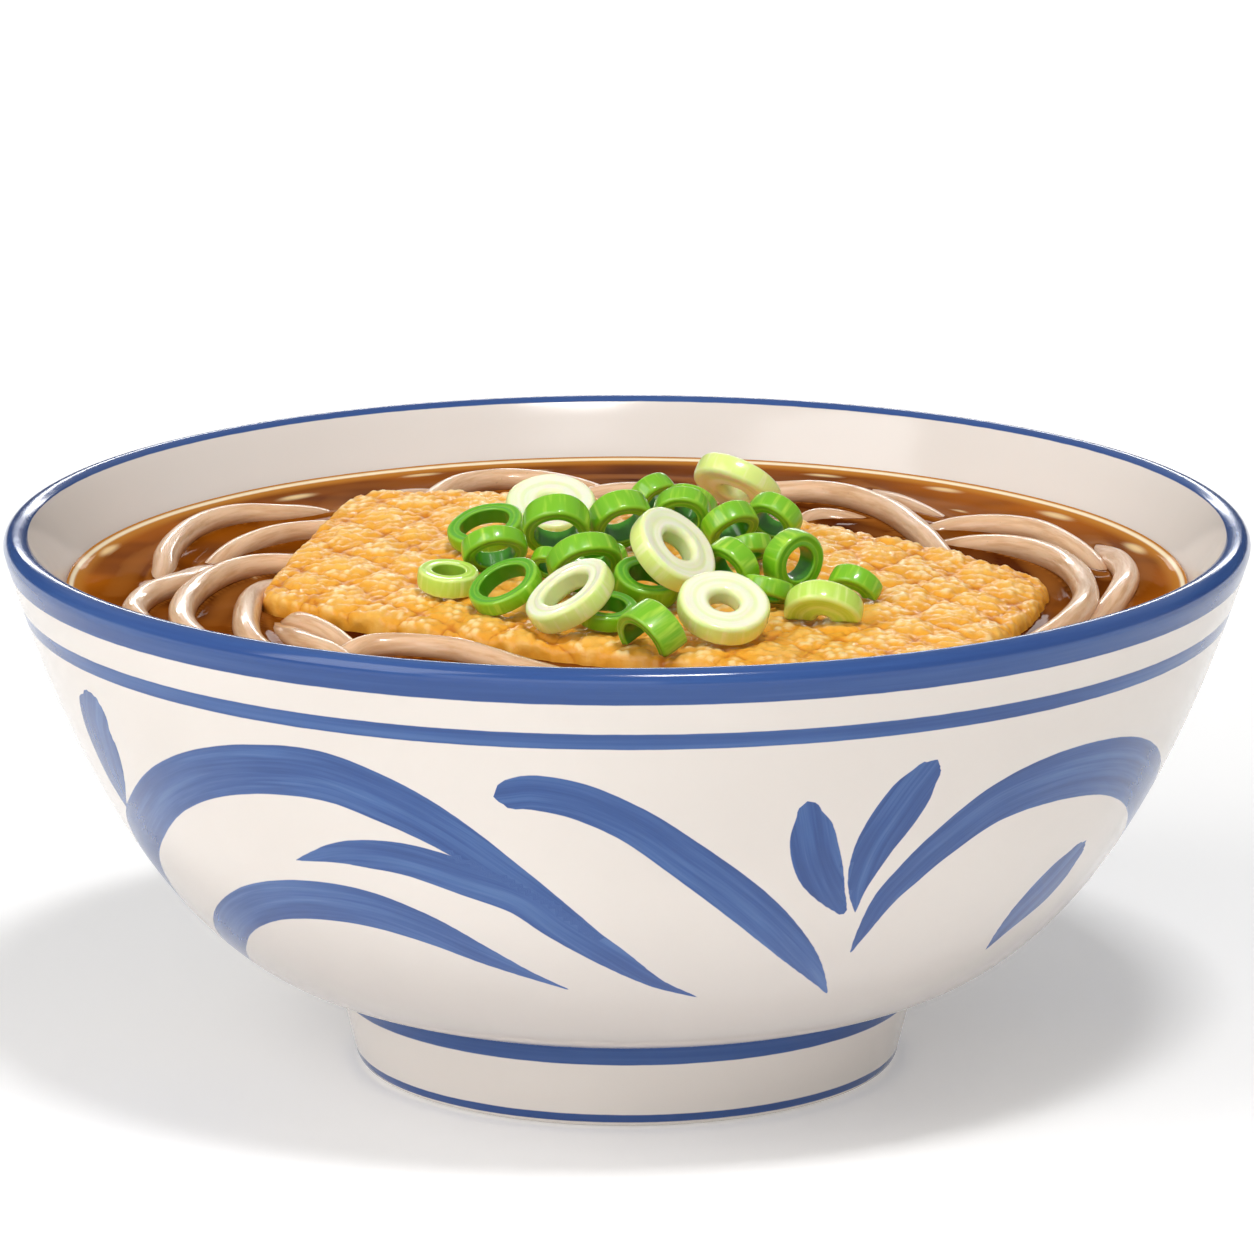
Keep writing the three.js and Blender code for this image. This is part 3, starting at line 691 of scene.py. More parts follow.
def broth_look():
    """Each number of the surface mixes in one more colour of the soup. The golden band and the
    cream line along the wall are painted light and a painted highlight on the meniscus, and the oil
    drops' pale gold is a painted highlight.
    """
    look = Look("soy_broth")
    color = look.mix(look.number("amber"), BROTH_DEEP, BROTH_AMBER)
    color = look.mix(look.number("through"), color, BROTH_OVER)
    # Painted light on the meniscus: a golden band along the wall.
    color = look.mix(look.number("edge"), color, BROTH_MENISCUS_LIGHT)
    # Painted highlight: pale gold glints on the oil drops.
    color = look.mix(look.times(look.number("oil_and_glint"), 0.75), color, BROTH_OIL_GLINT)
    # Painted highlight: a cream line at the wall.
    color = look.mix(look.number("rim"), color, BROTH_RIM_HIGHLIGHT)
    look.set(
        Base_Color=color,
        Roughness=0.04,
        IOR=1.33,
        Specular_IOR_Level=0.005,
    )
    return look.material


def tofu_look():
    """Golden skin, with painted shade in its grooves and painted light on its puffs, darker down
    its side, and painted highlights on the tips of its blisters.
    """
    look = Look("fried_tofu_skin")
    place = look.place()
    relief_shade = look.number("relief_shade")
    mottled = look.noise(place, 420, 3, 0.6)
    # Painted shade in the grooves and painted light on the peaks.
    color = look.mix(look.span(relief_shade, -0.75, -0.05), TOFU_GROOVE_SHADE_AND_MOTTLE, TOFU_GOLD)
    color = look.mix(look.span(relief_shade, 0.05, 0.8), color, TOFU_PEAK_LIGHT)
    color = look.mix(look.span(mottled, 0.55, 0.75, 0.0, 0.22), color, TOFU_GROOVE_SHADE_AND_MOTTLE)
    color = look.mix(look.number("brown"), color, TOFU_BROWN)
    # Painted highlights on the blisters' tips.
    color = look.mix(look.times(look.number("tip"), 0.7), color, TOFU_TIP_HIGHLIGHT)
    look.set(
        Base_Color=color,
        Roughness=0.4,
        IOR=1.42,
        Specular_IOR_Level=0.08,
        Coat_Weight=0.22,
        Coat_Roughness=0.08,
        Coat_IOR=1.6,
        Subsurface_Weight=0.10,
        Subsurface_Radius=(1.0, 0.45, 0.15),
        Subsurface_Scale=0.0015,
        Normal=look.bump(look.noise(place, 850, 2, 0.5), 0.0004, 0.35),
    )
    return look.material


def scallion_look(name, colours, translucent):
    """Streaked skin, layered cut faces, and the inside of the tube, darkened as painted shade."""
    skin, streak, cut, edge, inside = colours
    look = Look(name)
    fibre = look.noise(look.vector("fibre"), 1.0, 2, 0.5)
    outside = look.mix(look.span(fibre, 0.48, 0.78), skin, streak)
    layers = look.noise(look.vector("layer"), 1.0, 2, 0.5)
    face = look.mix(look.span(layers, 0.4, 0.7, 0.0, 0.3), cut, edge)
    color = look.mix(look.number("face"), outside, face)
    # Painted shade inside the tube.
    color = look.mix(look.number("inside_shade"), color, inside)
    color = look.mix(look.number("edge"), color, edge)
    look.set(
        Base_Color=color,
        Roughness=0.3,
        IOR=1.42,
        Coat_Weight=0.7,
        Coat_Roughness=0.05,
        Coat_IOR=1.42,
        Subsurface_Weight=translucent,
        Subsurface_Radius=(0.6, 1.0, 0.25),
        Subsurface_Scale=0.0010,
        Normal=look.bump(fibre, 0.0002, 0.2),
    )
    return look.material


# ---- the bowl ----


def outer_wall(steps):
    """From under the lip down to the top of the foot."""
    lean, belly = math.radians(WALL_LEAN), math.radians(BELLY_LEAN)
    top = (
        RIM_RADIUS - LIP_RADIUS + LIP_RADIUS * math.cos(-lean),
        BOWL_HEIGHT - LIP_RADIUS + LIP_RADIUS * math.sin(-lean),
    )
    pull = (top[0] - WALL_PULL * math.sin(lean), top[1] - WALL_PULL * math.cos(lean))
    foot = (FOOT_TOP_RADIUS, FOOT_HEIGHT)
    foot_pull = (foot[0] + BELLY_PULL * math.cos(belly), foot[1] + BELLY_PULL * math.sin(belly))
    return bezier(top, pull, foot_pull, foot, steps)


def inner_wall(steps):
    lean = math.radians(INNER_LEAN)
    start = (SOUP_RADIUS, SOUP_LEVEL)
    pull = (SOUP_RADIUS - INNER_PULL * math.sin(lean), SOUP_LEVEL - INNER_PULL * math.cos(lean))
    return bezier(start, pull, (INNER_FLAT, FLOOR_HEIGHT), (0, FLOOR_HEIGHT), steps)


def arc(middle, radius, start, end, steps):
    angle = np.radians(np.linspace(start, end, steps))
    return np.stack([middle[0] + radius * np.cos(angle), middle[1] + radius * np.sin(angle)], 1)


def wall_point(turn, height, profile):
    """A place on the outer wall, in degrees round from the front."""
    radius = np.interp(height, profile[::-1, 1], profile[::-1, 0])
    angle = np.radians(turn)
    return np.stack([radius * np.sin(angle), -radius * np.cos(angle), height], -1)


def stroke_course(name, turn, profile):
    """A stroke's middle line on the wall, with its half width, direction and side at each point."""
    line = smooth_line(STROKES[name], STROKE_SPACING)
    place = wall_point(line[:, 0] + turn, line[:, 1], profile)
    width = np.maximum(FINEST_STROKE, line[:, 2])
    tangent = unit(np.gradient(place, axis=0))
    outward = unit(place * (1, 1, 0)) + (0, 0, WALL_SLOPE)
    side = unit(np.cross(outward, tangent))
    return place, width, tangent, side


def beside_stroke(points, course):
    """For each point the nearest step of the stroke, how far to its side the point lies, the half
    width there and the distance from the stroke's edge. Past an end the width rounds off."""
    place, width, tangent, side = course
    away = np.linalg.norm(points[:, None] - place[None], axis=2)
    at = away.argmin(axis=1)
    away = away[np.arange(len(points)), at]
    offset = points - place[at]
    across = np.einsum("ij,ij->i", offset, side[at])
    ahead = np.einsum("ij,ij->i", offset, tangent[at])
    past = np.where(at == 0, -ahead, np.where(at == len(place) - 1, ahead, 0))
    past = np.clip(past, 0, None)
    half = np.sqrt(np.clip(width[at] ** 2 - past ** 2, 0, None))
    half = np.where(past < width[at], half, width[at] - past)
    return at, across, half, away - width[at]


def stroke_layers(points, profile):
    """For each layer of strokes the distance across the nearest one and its half width there.

    A point far from every stroke gets a width well under 0. Both change evenly along a stroke,
    so that thin tips stay sharp between the mesh's points. Also gives the distance from the
    nearest stroke's edge and coordinates for the brush's streaks.
    """
    best = np.full(len(points), FAR)
    brush = np.zeros((len(points), 3))
    layers = []
    number = 0
    for names in STROKE_LAYERS:
        nearest = np.full(len(points), FAR)
        layer = np.tile(NO_STROKE, (len(points), 1))
        for turn, name in itertools.product(PATTERN_TURNS, names):
            course = stroke_course(name, turn, profile)
            run = run_along(course[0])
            for rows in in_blocks(rows_near(points, course[0], STROKE_REACH), BLOCK):
                at, across, half, edge = beside_stroke(points[rows], course)
                shown = (edge < nearest[rows]) & (edge < STROKE_MARGIN)
                layer[rows[shown], 0] = across[shown]
                layer[rows[shown], 1] = half[shown]
                nearest[rows[shown]] = edge[shown]
                closer = edge < best[rows]
                streaks = np.stack([
                    run[at] * STREAKS_ALONG, across * STREAKS_ACROSS,
                    np.full(len(rows), number * STREAKS_APART),
                ], axis=1)
                best[rows[closer]] = edge[closer]
                brush[rows[closer]] = streaks[closer]
            number += 1
        layers.append(layer)
    return layers, best, brush


def bowl_profile():
    """The parts of the bowl's section, as radius and height, from the middle of the inside over
    the lip and down to the middle of the underside. They don't share their end points."""
    lip_middle = (RIM_RADIUS - LIP_RADIUS, BOWL_HEIGHT - LIP_RADIUS)
    lip = arc(lip_middle, LIP_RADIUS, LIP_INNER_TURN, -WALL_LEAN, LIP_STEPS)
    above_soup = np.linspace((SOUP_RADIUS, SOUP_LEVEL), lip[0], 5)[1:-1]
    inside = np.vstack([inner_wall(INSIDE_STEPS)[::-1], above_soup])[1:]
    wall = outer_wall(WALL_ROWS * 8)
    wall = even(wall, run_along(wall)[-1] / WALL_ROWS)
    foot_end = (FOOT_BASE_RADIUS, FOOT_ROUND)
    foot_side = np.linspace(wall[-1], foot_end, FOOT_SIDE_STEPS + 1)[1:-1]
    corner = (FOOT_BASE_RADIUS - FOOT_ROUND, FOOT_ROUND)
    foot_edge = arc(corner, FOOT_ROUND, 0, -90, FOOT_EDGE_STEPS)
    stand = FOOT_BASE_RADIUS - FOOT_RING
    underside = np.array([
        (corner[0] - 2, 0), (stand + 0.4, 0), (stand, 0.3), (stand - 0.5, FOOT_RECESS / 2),
        (stand - 1, FOOT_RECESS - 1), (stand - 1.8, FOOT_RECESS - 0.4), (stand - 4, FOOT_RECESS),
        (stand - 20, FOOT_RECESS), (3, FOOT_RECESS),
    ])
    return [inside, lip, wall[1:], foot_side, foot_edge, underside], wall


def paint_bands(profile, first):
    """How far along the section each row lies outside the nearest of the four bands."""
    run = run_along(profile)

    def at_height(rows, height):
        return np.interp(height, profile[rows, 1][::-1], run[rows][::-1])

    rising = slice(0, first["lip"] + 6)
    wall = slice(first["wall"], first["foot_side"])
    foot = slice(first["foot_side"] - 1, first["underside"])
    rim_start = np.interp(RIM_BAND_INSIDE, profile[rising, 1], run[rising])
    bands = (
        (rim_start, at_height(wall, RIM_BAND_LOW)),
        (at_height(wall, THIN_BAND[1]), at_height(wall, THIN_BAND[0])),
        (run[foot.start] - 0.2, at_height(foot, FOOT_BAND_LOW)),
        (at_height(foot, FOOT_LINE[1]), at_height(foot, FOOT_LINE[0])),
    )
    return np.min([np.maximum(low - run, run - high) for low, high in bands], axis=0)


def make_bowl(material):
    """The section turned round its middle, with what the look needs to paint it."""
    parts, wall_line = bowl_profile()
    names = ("inside", "lip", "wall", "foot_side", "foot_edge", "underside")
    first = dict(zip(names, np.cumsum([0] + [len(part) for part in parts])))
    profile = np.vstack(parts)
    rows = len(profile)
    turn = round_angles(BOWL_COLUMNS)
    x = profile[:, 0, None] * np.sin(turn)
    y = -profile[:, 0, None] * np.cos(turn)
    z = np.repeat(profile[:, 1, None], BOWL_COLUMNS, axis=1)
    grid = np.stack([x, y, z], -1)
    tip_highlights = [[0, 0, FLOOR_HEIGHT], [0, 0, FOOT_RECESS]]
    points = np.vstack([grid.reshape(-1, 3), tip_highlights])
    faces = closed_grid(rows, BOWL_COLUMNS)

    wall = slice(first["wall"], first["foot_side"])
    paint = np.repeat(paint_bands(profile, first)[:, None], BOWL_COLUMNS, axis=1)
    brush = grid * (BAND_STREAKS, BAND_STREAKS, STREAKS_ACROSS)
    layers, away, along = stroke_layers(grid[wall].reshape(-1, 3), wall_line)
    nearer = away.reshape(-1, BOWL_COLUMNS) < paint[wall]
    brush[wall] = np.where(nearer[..., None], along.reshape(-1, BOWL_COLUMNS, 3), brush[wall])
    bare = np.zeros((rows, BOWL_COLUMNS))
    bare[first["underside"] - 1:first["underside"] + 3] = 1
    numbers = {
        "paint": np.append(paint.ravel(), [FAR, FAR]),
        "bare": np.append(bare.ravel(), [0, 0]),
    }
    vectors = {"brush": np.vstack([brush.reshape(-1, 3), np.zeros((2, 3))])}
    for k, layer in enumerate(layers):
        whole = np.tile(NO_STROKE, (len(points), 1))
        whole[wall.start * BOWL_COLUMNS:wall.stop * BOWL_COLUMNS] = layer
        vectors[f"stroke_{k}"] = whole
    piece = make_piece("bowl_glazed", points, faces, material, numbers, vectors)
    show(piece, "glaze", "bowl")


# ---- the fried tofu ----


def tofu_surface(u, v):
    """The slice's upper face over its square of coordinates, as x, y and height."""
    point = []
    for k in range(3):
        front = ((1 - u) * TOFU_FRONT_LEFT[k] + (1 + u) * TOFU_FRONT_RIGHT[k]) / 2
        back = ((1 - u) * TOFU_BACK_LEFT[k] + (1 + u) * TOFU_BACK_RIGHT[k]) / 2
        point.append(((1 - v) * front + (1 + v) * back) / 2)
    along = np.array(TOFU_BACK_RIGHT[:2], dtype=float) - TOFU_BACK_LEFT[:2]
    along /= np.linalg.norm(along)
    away = (-along[1], along[0])
    bow_v = (TOFU_BOW["back"] * (1 + v) - TOFU_BOW["front"] * (1 - v)) / 2
    bow_v = bow_v * (1 - u * u) * np.abs(v)
    bow_u = (TOFU_BOW["right"] * (1 + u) - TOFU_BOW["left"] * (1 - u)) / 2
    bow_u = bow_u * (1 - v * v) * np.abs(u)
    lift = TOFU_DOME * (1 - u * u) * (1 - v * v)
    lift = lift + TOFU_BACK_LIFT * (1 - u * u) * ((1 + v) / 2) ** 2
    return (
        point[0] + away[0] * bow_v + along[0] * bow_u,
        point[1] + away[1] * bow_v + along[1] * bow_u,
        point[2] + lift,
    )


def square_reach(c, s):
    """How far the rounded square reaches in a direction, given by its cosine and sine."""
    power = np.abs(c) ** TOFU_SQUARENESS + np.abs(s) ** TOFU_SQUARENESS
    return power ** (-1 / TOFU_SQUARENESS)


def cell_relief(x, y):
    """The puffed diamonds of the skin, between two sets of slanting grooves."""
    rising = np.sin(np.pi * (x / CELL_WIDTH + y / CELL_DEPTH))
    falling = np.sin(np.pi * (x / CELL_WIDTH - y / CELL_DEPTH))
    return CELL_RELIEF * (np.sqrt(np.abs(rising * falling)) - 0.5)


TOFU_COLUMNS = 300
TOFU_ROWS = 230
PUFF_SIZE = 3.6
PUFF_HEIGHT = 0.5
BLISTER_SIZE = 1.9
BLISTER_HEIGHT = 0.36
CREASE_SIZE = 3.1
CREASE_HEIGHT = 0.10
GRAIN_SIZE = 0.9
GRAIN_HEIGHT = 0.04
TOFU_FACE = 0.968  # the part of the slice that is its upper face
TOFU_FACE_DROOP = 0.35
# Past the face, down the side and under: how far out, as a part of the slice, and how far down.
TOFU_EDGE = [
    (0.975, 0.48), (0.981, 0.66), (0.986, 0.9), (0.990, 1.2), (0.994, 1.6), (0.997, 2.1),
    (0.999, 2.7), (1.0, 3.4), (0.999, 4.2), (0.996, 5.1), (0.989, 6.0), (0.975, 6.9),
    (0.95, 7.6), (0.91, TOFU_THICKNESS), (0.7, TOFU_THICKNESS), (0.4, TOFU_THICKNESS),
]


def tofu_detail(x, y, z, down):
    """The fried skin at places so far down from the face: height, relief from -1 to 1 for its
    colour, painted shade in the grooves and painted light on the puffs, unevenness of the side,
    and the blisters' tips, which get a pale painted highlight."""
    flat = flat_points(x, y)
    wave_x = x + 1.7 * noise(flat, 8, 11)
    wave_y = y + 2.4 * noise(flat, 10, 12)
    cells = cell_relief(wave_x, wave_y)
    cell = cells / CELL_RELIEF
    groove = smoothstep(-0.16, -0.45, cell)
    near, second = blisters(x, y, PUFF_SIZE, 21)
    puff = np.sqrt(np.clip(second - near, 0, 1)) * (0.7 + 0.3 * noise(flat, 6, 14))
    near_blister, _ = blisters(x * 1.25 + 50, y * 0.85, BLISTER_SIZE, 22)
    blister = smoothstep(0, 0.85, 1 - near_blister * 1.2)
    crease = 1 - np.abs(noise(flat, CREASE_SIZE, 23))
    height = cells * (0.85 + 0.3 * noise(flat, 14, 15))
    height = height + PUFF_HEIGHT * (puff - 0.45) + BLISTER_HEIGHT * blister
    height = height + CREASE_HEIGHT * (crease - 0.6) + GRAIN_HEIGHT * noise(flat, GRAIN_SIZE, 24)
    # For the colour: painted light on puffs and blisters, painted shade in the grooves.
    relief_shade = cell + 0.5 * (puff - 0.5) + 0.4 * blister - 0.35 * groove
    fade = 1 - smoothstep(0.4, 4.0, down)
    side = noise(np.stack([x, y, z], -1), 1.6, 41)
    # Where the pale painted highlights go: the tips of the blisters.
    tip = smoothstep(0.55, 0.9, blister) * smoothstep(-0.25, 0.1, cell)
    tip = tip * smoothstep(-0.15, 0.35, noise(flat, 2.6, 16)) * smoothstep(1.2, 0.5, down)
    return height * fade, relief_shade * fade + (0.7 * side + 0.1) * (1 - fade), side, tip


def make_tofu(material):
    """Makes the slice. Gives its outline in plan and the points of its upper face."""
    a, b = np.meshgrid(np.linspace(-1, 1, TOFU_COLUMNS), np.linspace(-1, 1, TOFU_ROWS))
    length = np.maximum(np.hypot(a, b), 1e-9)
    c, s = a / length, b / length
    stretch = square_reach(c, s) * np.maximum(np.abs(c), np.abs(s)) * TOFU_FACE
    reach = np.maximum(np.abs(a), np.abs(b)) * TOFU_FACE
    x, y, z = tofu_surface(a * stretch, b * stretch)
    down = TOFU_FACE_DROOP * smoothstep(0.90, TOFU_FACE, reach)
    height, relief_shade, _, tip = tofu_detail(x, y, z, down)
    face = np.stack([x, y, z + height - down], -1).reshape(-1, 3)
    browned = smoothstep(0.3, 0.8, noise(flat_points(x, y), 12, 32))
    brown = 0.08 * smoothstep(0.90, TOFU_FACE, reach) + 0.10 * browned

    # The face's border, once round, then bands down the side and under.
    rows, columns = a.shape
    index = np.arange(rows * columns).reshape(rows, columns)
    loop = np.concatenate([index[0, :-1], index[:-1, -1], index[-1, :0:-1], index[:0:-1, 0]])
    c, s = c.ravel()[loop], s.ravel()[loop]
    limit = square_reach(c, s)
    points, relief_shades, browns, tip_highlights = [face], [relief_shade.ravel()], [brown.ravel()], [tip.ravel()]
    faces = [grid_faces(rows, columns, round_columns=False)]
    before, total, count = loop, rows * columns, len(loop)
    middle = np.array(tofu_surface(0, 0))
    for out, down in TOFU_EDGE:
        x, y, z = tofu_surface(c * limit * out, s * limit * out)
        height, relief_shade, side, tip = tofu_detail(x, y, z - down, down)
        place = np.stack([x, y, z - down + height], -1)
        outward = unit((place - middle) * (1, 1, 0))
        bulge = 0.4 * (side - 0.6) * smoothstep(0.6, 2.2, down)
        bulge = bulge * smoothstep(TOFU_THICKNESS, TOFU_THICKNESS - 1, down)
        points.append(place + outward * bulge[:, None])
        relief_shades.append(relief_shade)
        tip_highlights.append(tip)
        brown = 0.08 + 0.5 * smoothstep(1.6, 4.6, down) * (1 - 0.4 * side)
        browns.append(np.clip(brown, 0, 0.85))
        here = total + np.arange(count)
        faces.append(np.stack([before, here, np.roll(here, -1), np.roll(before, -1)], -1))
        before = here
        total += count
    points.append(points[-1].mean(axis=0)[None])
    faces.append(fan_faces(total, before[::-1]))
    # The relief and tip numbers carry painted shade and painted highlights.
    numbers = {
        "relief_shade": np.append(np.concatenate(relief_shades), 0),
        "brown": np.append(np.concatenate(browns), 0.6),
        "tip": np.append(np.concatenate(tip_highlights), 0),
    }
    piece = make_piece("tofu_slice", np.vstack(points), faces, material, numbers)
    show(piece, "fried_tofu", "fried_tofu")
    turn = round_angles(320)
    turn = turn + 0.2 * np.sin(4 * turn)  # closer together at the corners
    c, s = np.cos(turn), np.sin(turn)
    x, y, _ = tofu_surface(c * square_reach(c, s), s * square_reach(c, s))
    return np.stack([x, y], -1), face


def polygon_distance(x, y, outline):
    """Signed distance to a closed outline, less than 0 inside."""
    flat = np.stack([np.ravel(x), np.ravel(y)], -1)
    best = np.full(len(flat), 1e9)
    inside = np.zeros(len(flat), dtype=bool)
    for p, q in zip(outline, np.roll(outline, -1, axis=0)):
        edge = q - p
        t = np.clip(((flat - p) @ edge) / (edge @ edge), 0, 1)
        best = np.minimum(best, np.linalg.norm(flat - p - t[:, None] * edge, axis=1))
        crosses = (p[1] > flat[:, 1]) != (q[1] > flat[:, 1])
        slope = np.where(crosses, (flat[:, 1] - p[1]) / (q[1] - p[1] + 1e-12), 0)
        inside ^= crosses & (flat[:, 0] < p[0] + slope * edge[0])
    return np.where(inside, -best, best).reshape(np.shape(x))


# ---- noodles ----

STRAND_SPACING = 0.9
STRAND_SIDES = 14
STRAND_TOUCH = 3.8  # centre lines of crossing noodles stay this far apart
HIGHEST_STRAND = 78.4
HIGHEST_SHALLOW = 73.9
HIGHEST_SUNKEN = 72.7
END_HEIGHT = 73.2  # a noodle's end lies out of sight in the soup
END_RUN = 11.0
END_STEPS = 6  # steps by which a noodle that shows goes on at each end, bending down
END_BEND = 0.05
LOWEST_STRAND = 69.0
TOFU_MARGIN = 0.8  # a noodle this far outside the slice still keeps under it
TOFU_CLEARANCE = 1.6  # from the slice's upper face to a noodle under it
HIDDEN_UNDER_TOFU = 3.0
WALL_CLEARANCE = 0.4
SETTLING_ROUNDS = 16
SUNKEN_STRANDS = 46
SUNKEN_HEIGHT = 72.2
SUNKEN_RADII = (46, 80)  # how far from the bowl's middle
SUNKEN_SWEEPS = (0.5, 1.1)  # how far round it, in radians
SUNKEN_DRIFT = 20.0  # how much nearer or farther one end lies
SUNKEN_DIP = 1.5  # of both ends

# Noodles just under the surface, where they show through it: x, y and height.
SHALLOW = [
    [(-64, -28, 73), (-62.5, -18, 73.8), (-62.3, -11, 73.8), (-61, -5, 73.8), (-57, 2, 73)],
    [(63, 18, 73), (65.5, 5, 73.8), (66.2, -4, 73.9), (65, -12, 73.9), (62, -22, 73.8),
     (55, -34, 73)],
    [(56, 26, 73), (60, 22.5, 73.6), (63.2, 17.7, 73.8), (66.1, 12, 73.8), (69, 4, 73)],
    [(-18, 73, 73), (-8, 76, 73.8), (0, 76.6, 73.9), (6, 75.6, 73.9), (14, 72, 73)],
    [(-80, -8, 73), (-78.5, 6, 73.6), (-77, 18, 73.7), (-72, 30, 73)],
    [(81, 22, 73), (81.5, 12, 73.6), (80.5, 2, 73.7), (78, -8, 73)],
    [(34, 46, 73), (40, 42, 73.6), (44, 36, 73.7), (49, 28, 73)],
    [(-50, 20, 73), (-56, 18, 73.7), (-61, 13, 73.7), (-66, 4, 73)],
]


def sunken_noodles(rng):
    """Further noodles just under the soup between those that stand out of it."""
    strands = []
    for k in range(SUNKEN_STRANDS):
        turn = 2 * np.pi * (k + rng.uniform(0, 1)) / SUNKEN_STRANDS
        radius = rng.uniform(*SUNKEN_RADII)
        sweep = rng.uniform(*SUNKEN_SWEEPS) * rng.choice([-1, 1])
        drift = rng.uniform(-SUNKEN_DRIFT, SUNKEN_DRIFT)
        line = []
        for t in np.linspace(0, 1, 6):
            angle = turn + sweep * (t - 0.5)
            r = np.clip(radius + drift * (t - 0.5) + rng.uniform(-3, 3), 20, 82)
            dip = SUNKEN_DIP if t in (0, 1) else 0
            height = SUNKEN_HEIGHT + rng.uniform(-0.5, 0.5) - dip
            line.append((r * math.sin(angle), -r * math.cos(angle), height))
        strands.append(smooth_line(line, STRAND_SPACING))
    return strands


def close_pairs(lines, touch):
    """Points of two noodles that lie closer together in plan than they may."""
    starts = np.cumsum([0] + [len(line) for line in lines])
    boxes = [(line[:, :2].min(axis=0) - touch, line[:, :2].max(axis=0)) for line in lines]
    low, high, gaps = [], [], []
    for i, first in enumerate(lines):
        for j in range(i + 1, len(lines)):
            if np.any(boxes[i][1] < boxes[j][0]) or np.any(boxes[j][1] < boxes[i][0]):
                continue
            gap = np.linalg.norm(first[:, None, :2] - lines[j][None, :, :2], axis=2)
            a, b = np.nonzero(gap < touch)
            low.append(a + starts[i])
            high.append(b + starts[j])
            gaps.append(gap[a, b])
    return np.concatenate(low), np.concatenate(high), np.concatenate(gaps)


def softened(values, reach):
    """Each value averaged with so many on either side."""
    padded = np.pad(values, reach, mode="edge")
    return np.convolve(padded, np.ones(2 * reach + 1) / (2 * reach + 1), mode="valid")


def with_ends(line):
    """The line carried on a little at both ends, bending down."""
    count = np.arange(1, END_STEPS + 1)
    steps = count[:, None] * STRAND_SPACING
    drop = np.outer(END_BEND * count ** 2, (0, 0, 1))
    ahead = (line[-1] - line[-5]) / np.linalg.norm(line[-1] - line[-5]) * (1, 1, 0)
    behind = (line[0] - line[4]) / np.linalg.norm(line[0] - line[4]) * (1, 1, 0)
    start = line[0] + behind * steps - drop
    end = line[-1] + ahead * steps - drop
    return even(np.vstack([start[::-1], line, end]), STRAND_SPACING)


def strand_ceiling(every, distance, highest, tofu_top):
    """How high each point may lie. The slice rests on the noodles: none comes through it."""
    ceiling = highest.copy()
    face = tofu_top[::7]
    for rows in in_blocks(np.nonzero(distance < TOFU_MARGIN)[0], BLOCK // 10):
        gaps = np.linalg.norm(every[rows, None, :2] - face[None, :, :2], axis=2)
        droop = TOFU_CLEARANCE + TOFU_DROOP * smoothstep(-4.0, 0.0, distance[rows])
        above = face[gaps.argmin(axis=1), 2]
        ceiling[rows] = np.minimum(ceiling[rows], above - droop - NOODLE_RADIUS)
    return ceiling


def settle(lines, is_shown, ceiling):
    """Moves crossing noodles up or down until one lies over the other. One that doesn't show
    gives way to one that does."""
    cuts = np.cumsum([len(line) for line in lines])[:-1]
    low, high, gap = close_pairs(lines, STRAND_TOUCH)
    every = np.vstack(lines)
    over = np.where(every[high, 2] >= every[low, 2], 1.0, -1.0)
    high_moves = np.where(is_shown[high], 0.5, 1.0)
    wanted = np.sqrt(STRAND_TOUCH ** 2 - gap ** 2)
    for _ in range(SETTLING_ROUNDS):
        rise = every[high, 2] - every[low, 2]
        short = np.clip(wanted - rise * over, 0, None) * over
        push = np.zeros(len(every))
        weight = np.zeros(len(every))
        np.add.at(push, high, short * high_moves)
        np.add.at(weight, high, 1.0)
        np.add.at(push, low, -short * (1 - high_moves))
        np.add.at(weight, low, 1.0)
        every[:, 2] += 0.5 * push / np.maximum(weight, 1)
        pieces = np.split(every, cuts)
        for piece in pieces:
            piece[:, 2] = 0.5 * piece[:, 2] + 0.5 * softened(piece[:, 2], 4)
        every = np.vstack(pieces)
        every[:, 2] = np.clip(every[:, 2], LOWEST_STRAND, ceiling)
    return np.split(every, cuts)


def finished(line, edge):
    """A settled line, smoothed, with its ends under the soup and clear of the bowl's wall."""
    plan = [softened(line[:, axis], 2) for axis in (0, 1)]
    line = np.stack([*plan, softened(line[:, 2], 3)], axis=1)
    run = run_along(line)
    for end, away in ((0, run), (-1, run[-1] - run)):
        if edge[end] > -1.5:
            sink = max(0.0, line[end, 2] - END_HEIGHT)
            line[:, 2] -= sink * np.clip(1 - away / END_RUN, 0, 1) ** 2
    radius = np.hypot(line[:, 0], line[:, 1])
    depth = np.clip(SOUP_LEVEL - line[:, 2], 0, None)
    wall = SOUP_RADIUS - depth * math.tan(math.radians(INNER_LEAN))
    reach = wall - NOODLE_RADIUS - WALL_CLEARANCE
    line[:, :2] *= np.minimum(1, reach / np.maximum(radius, 1e-6))[:, None]
    return line


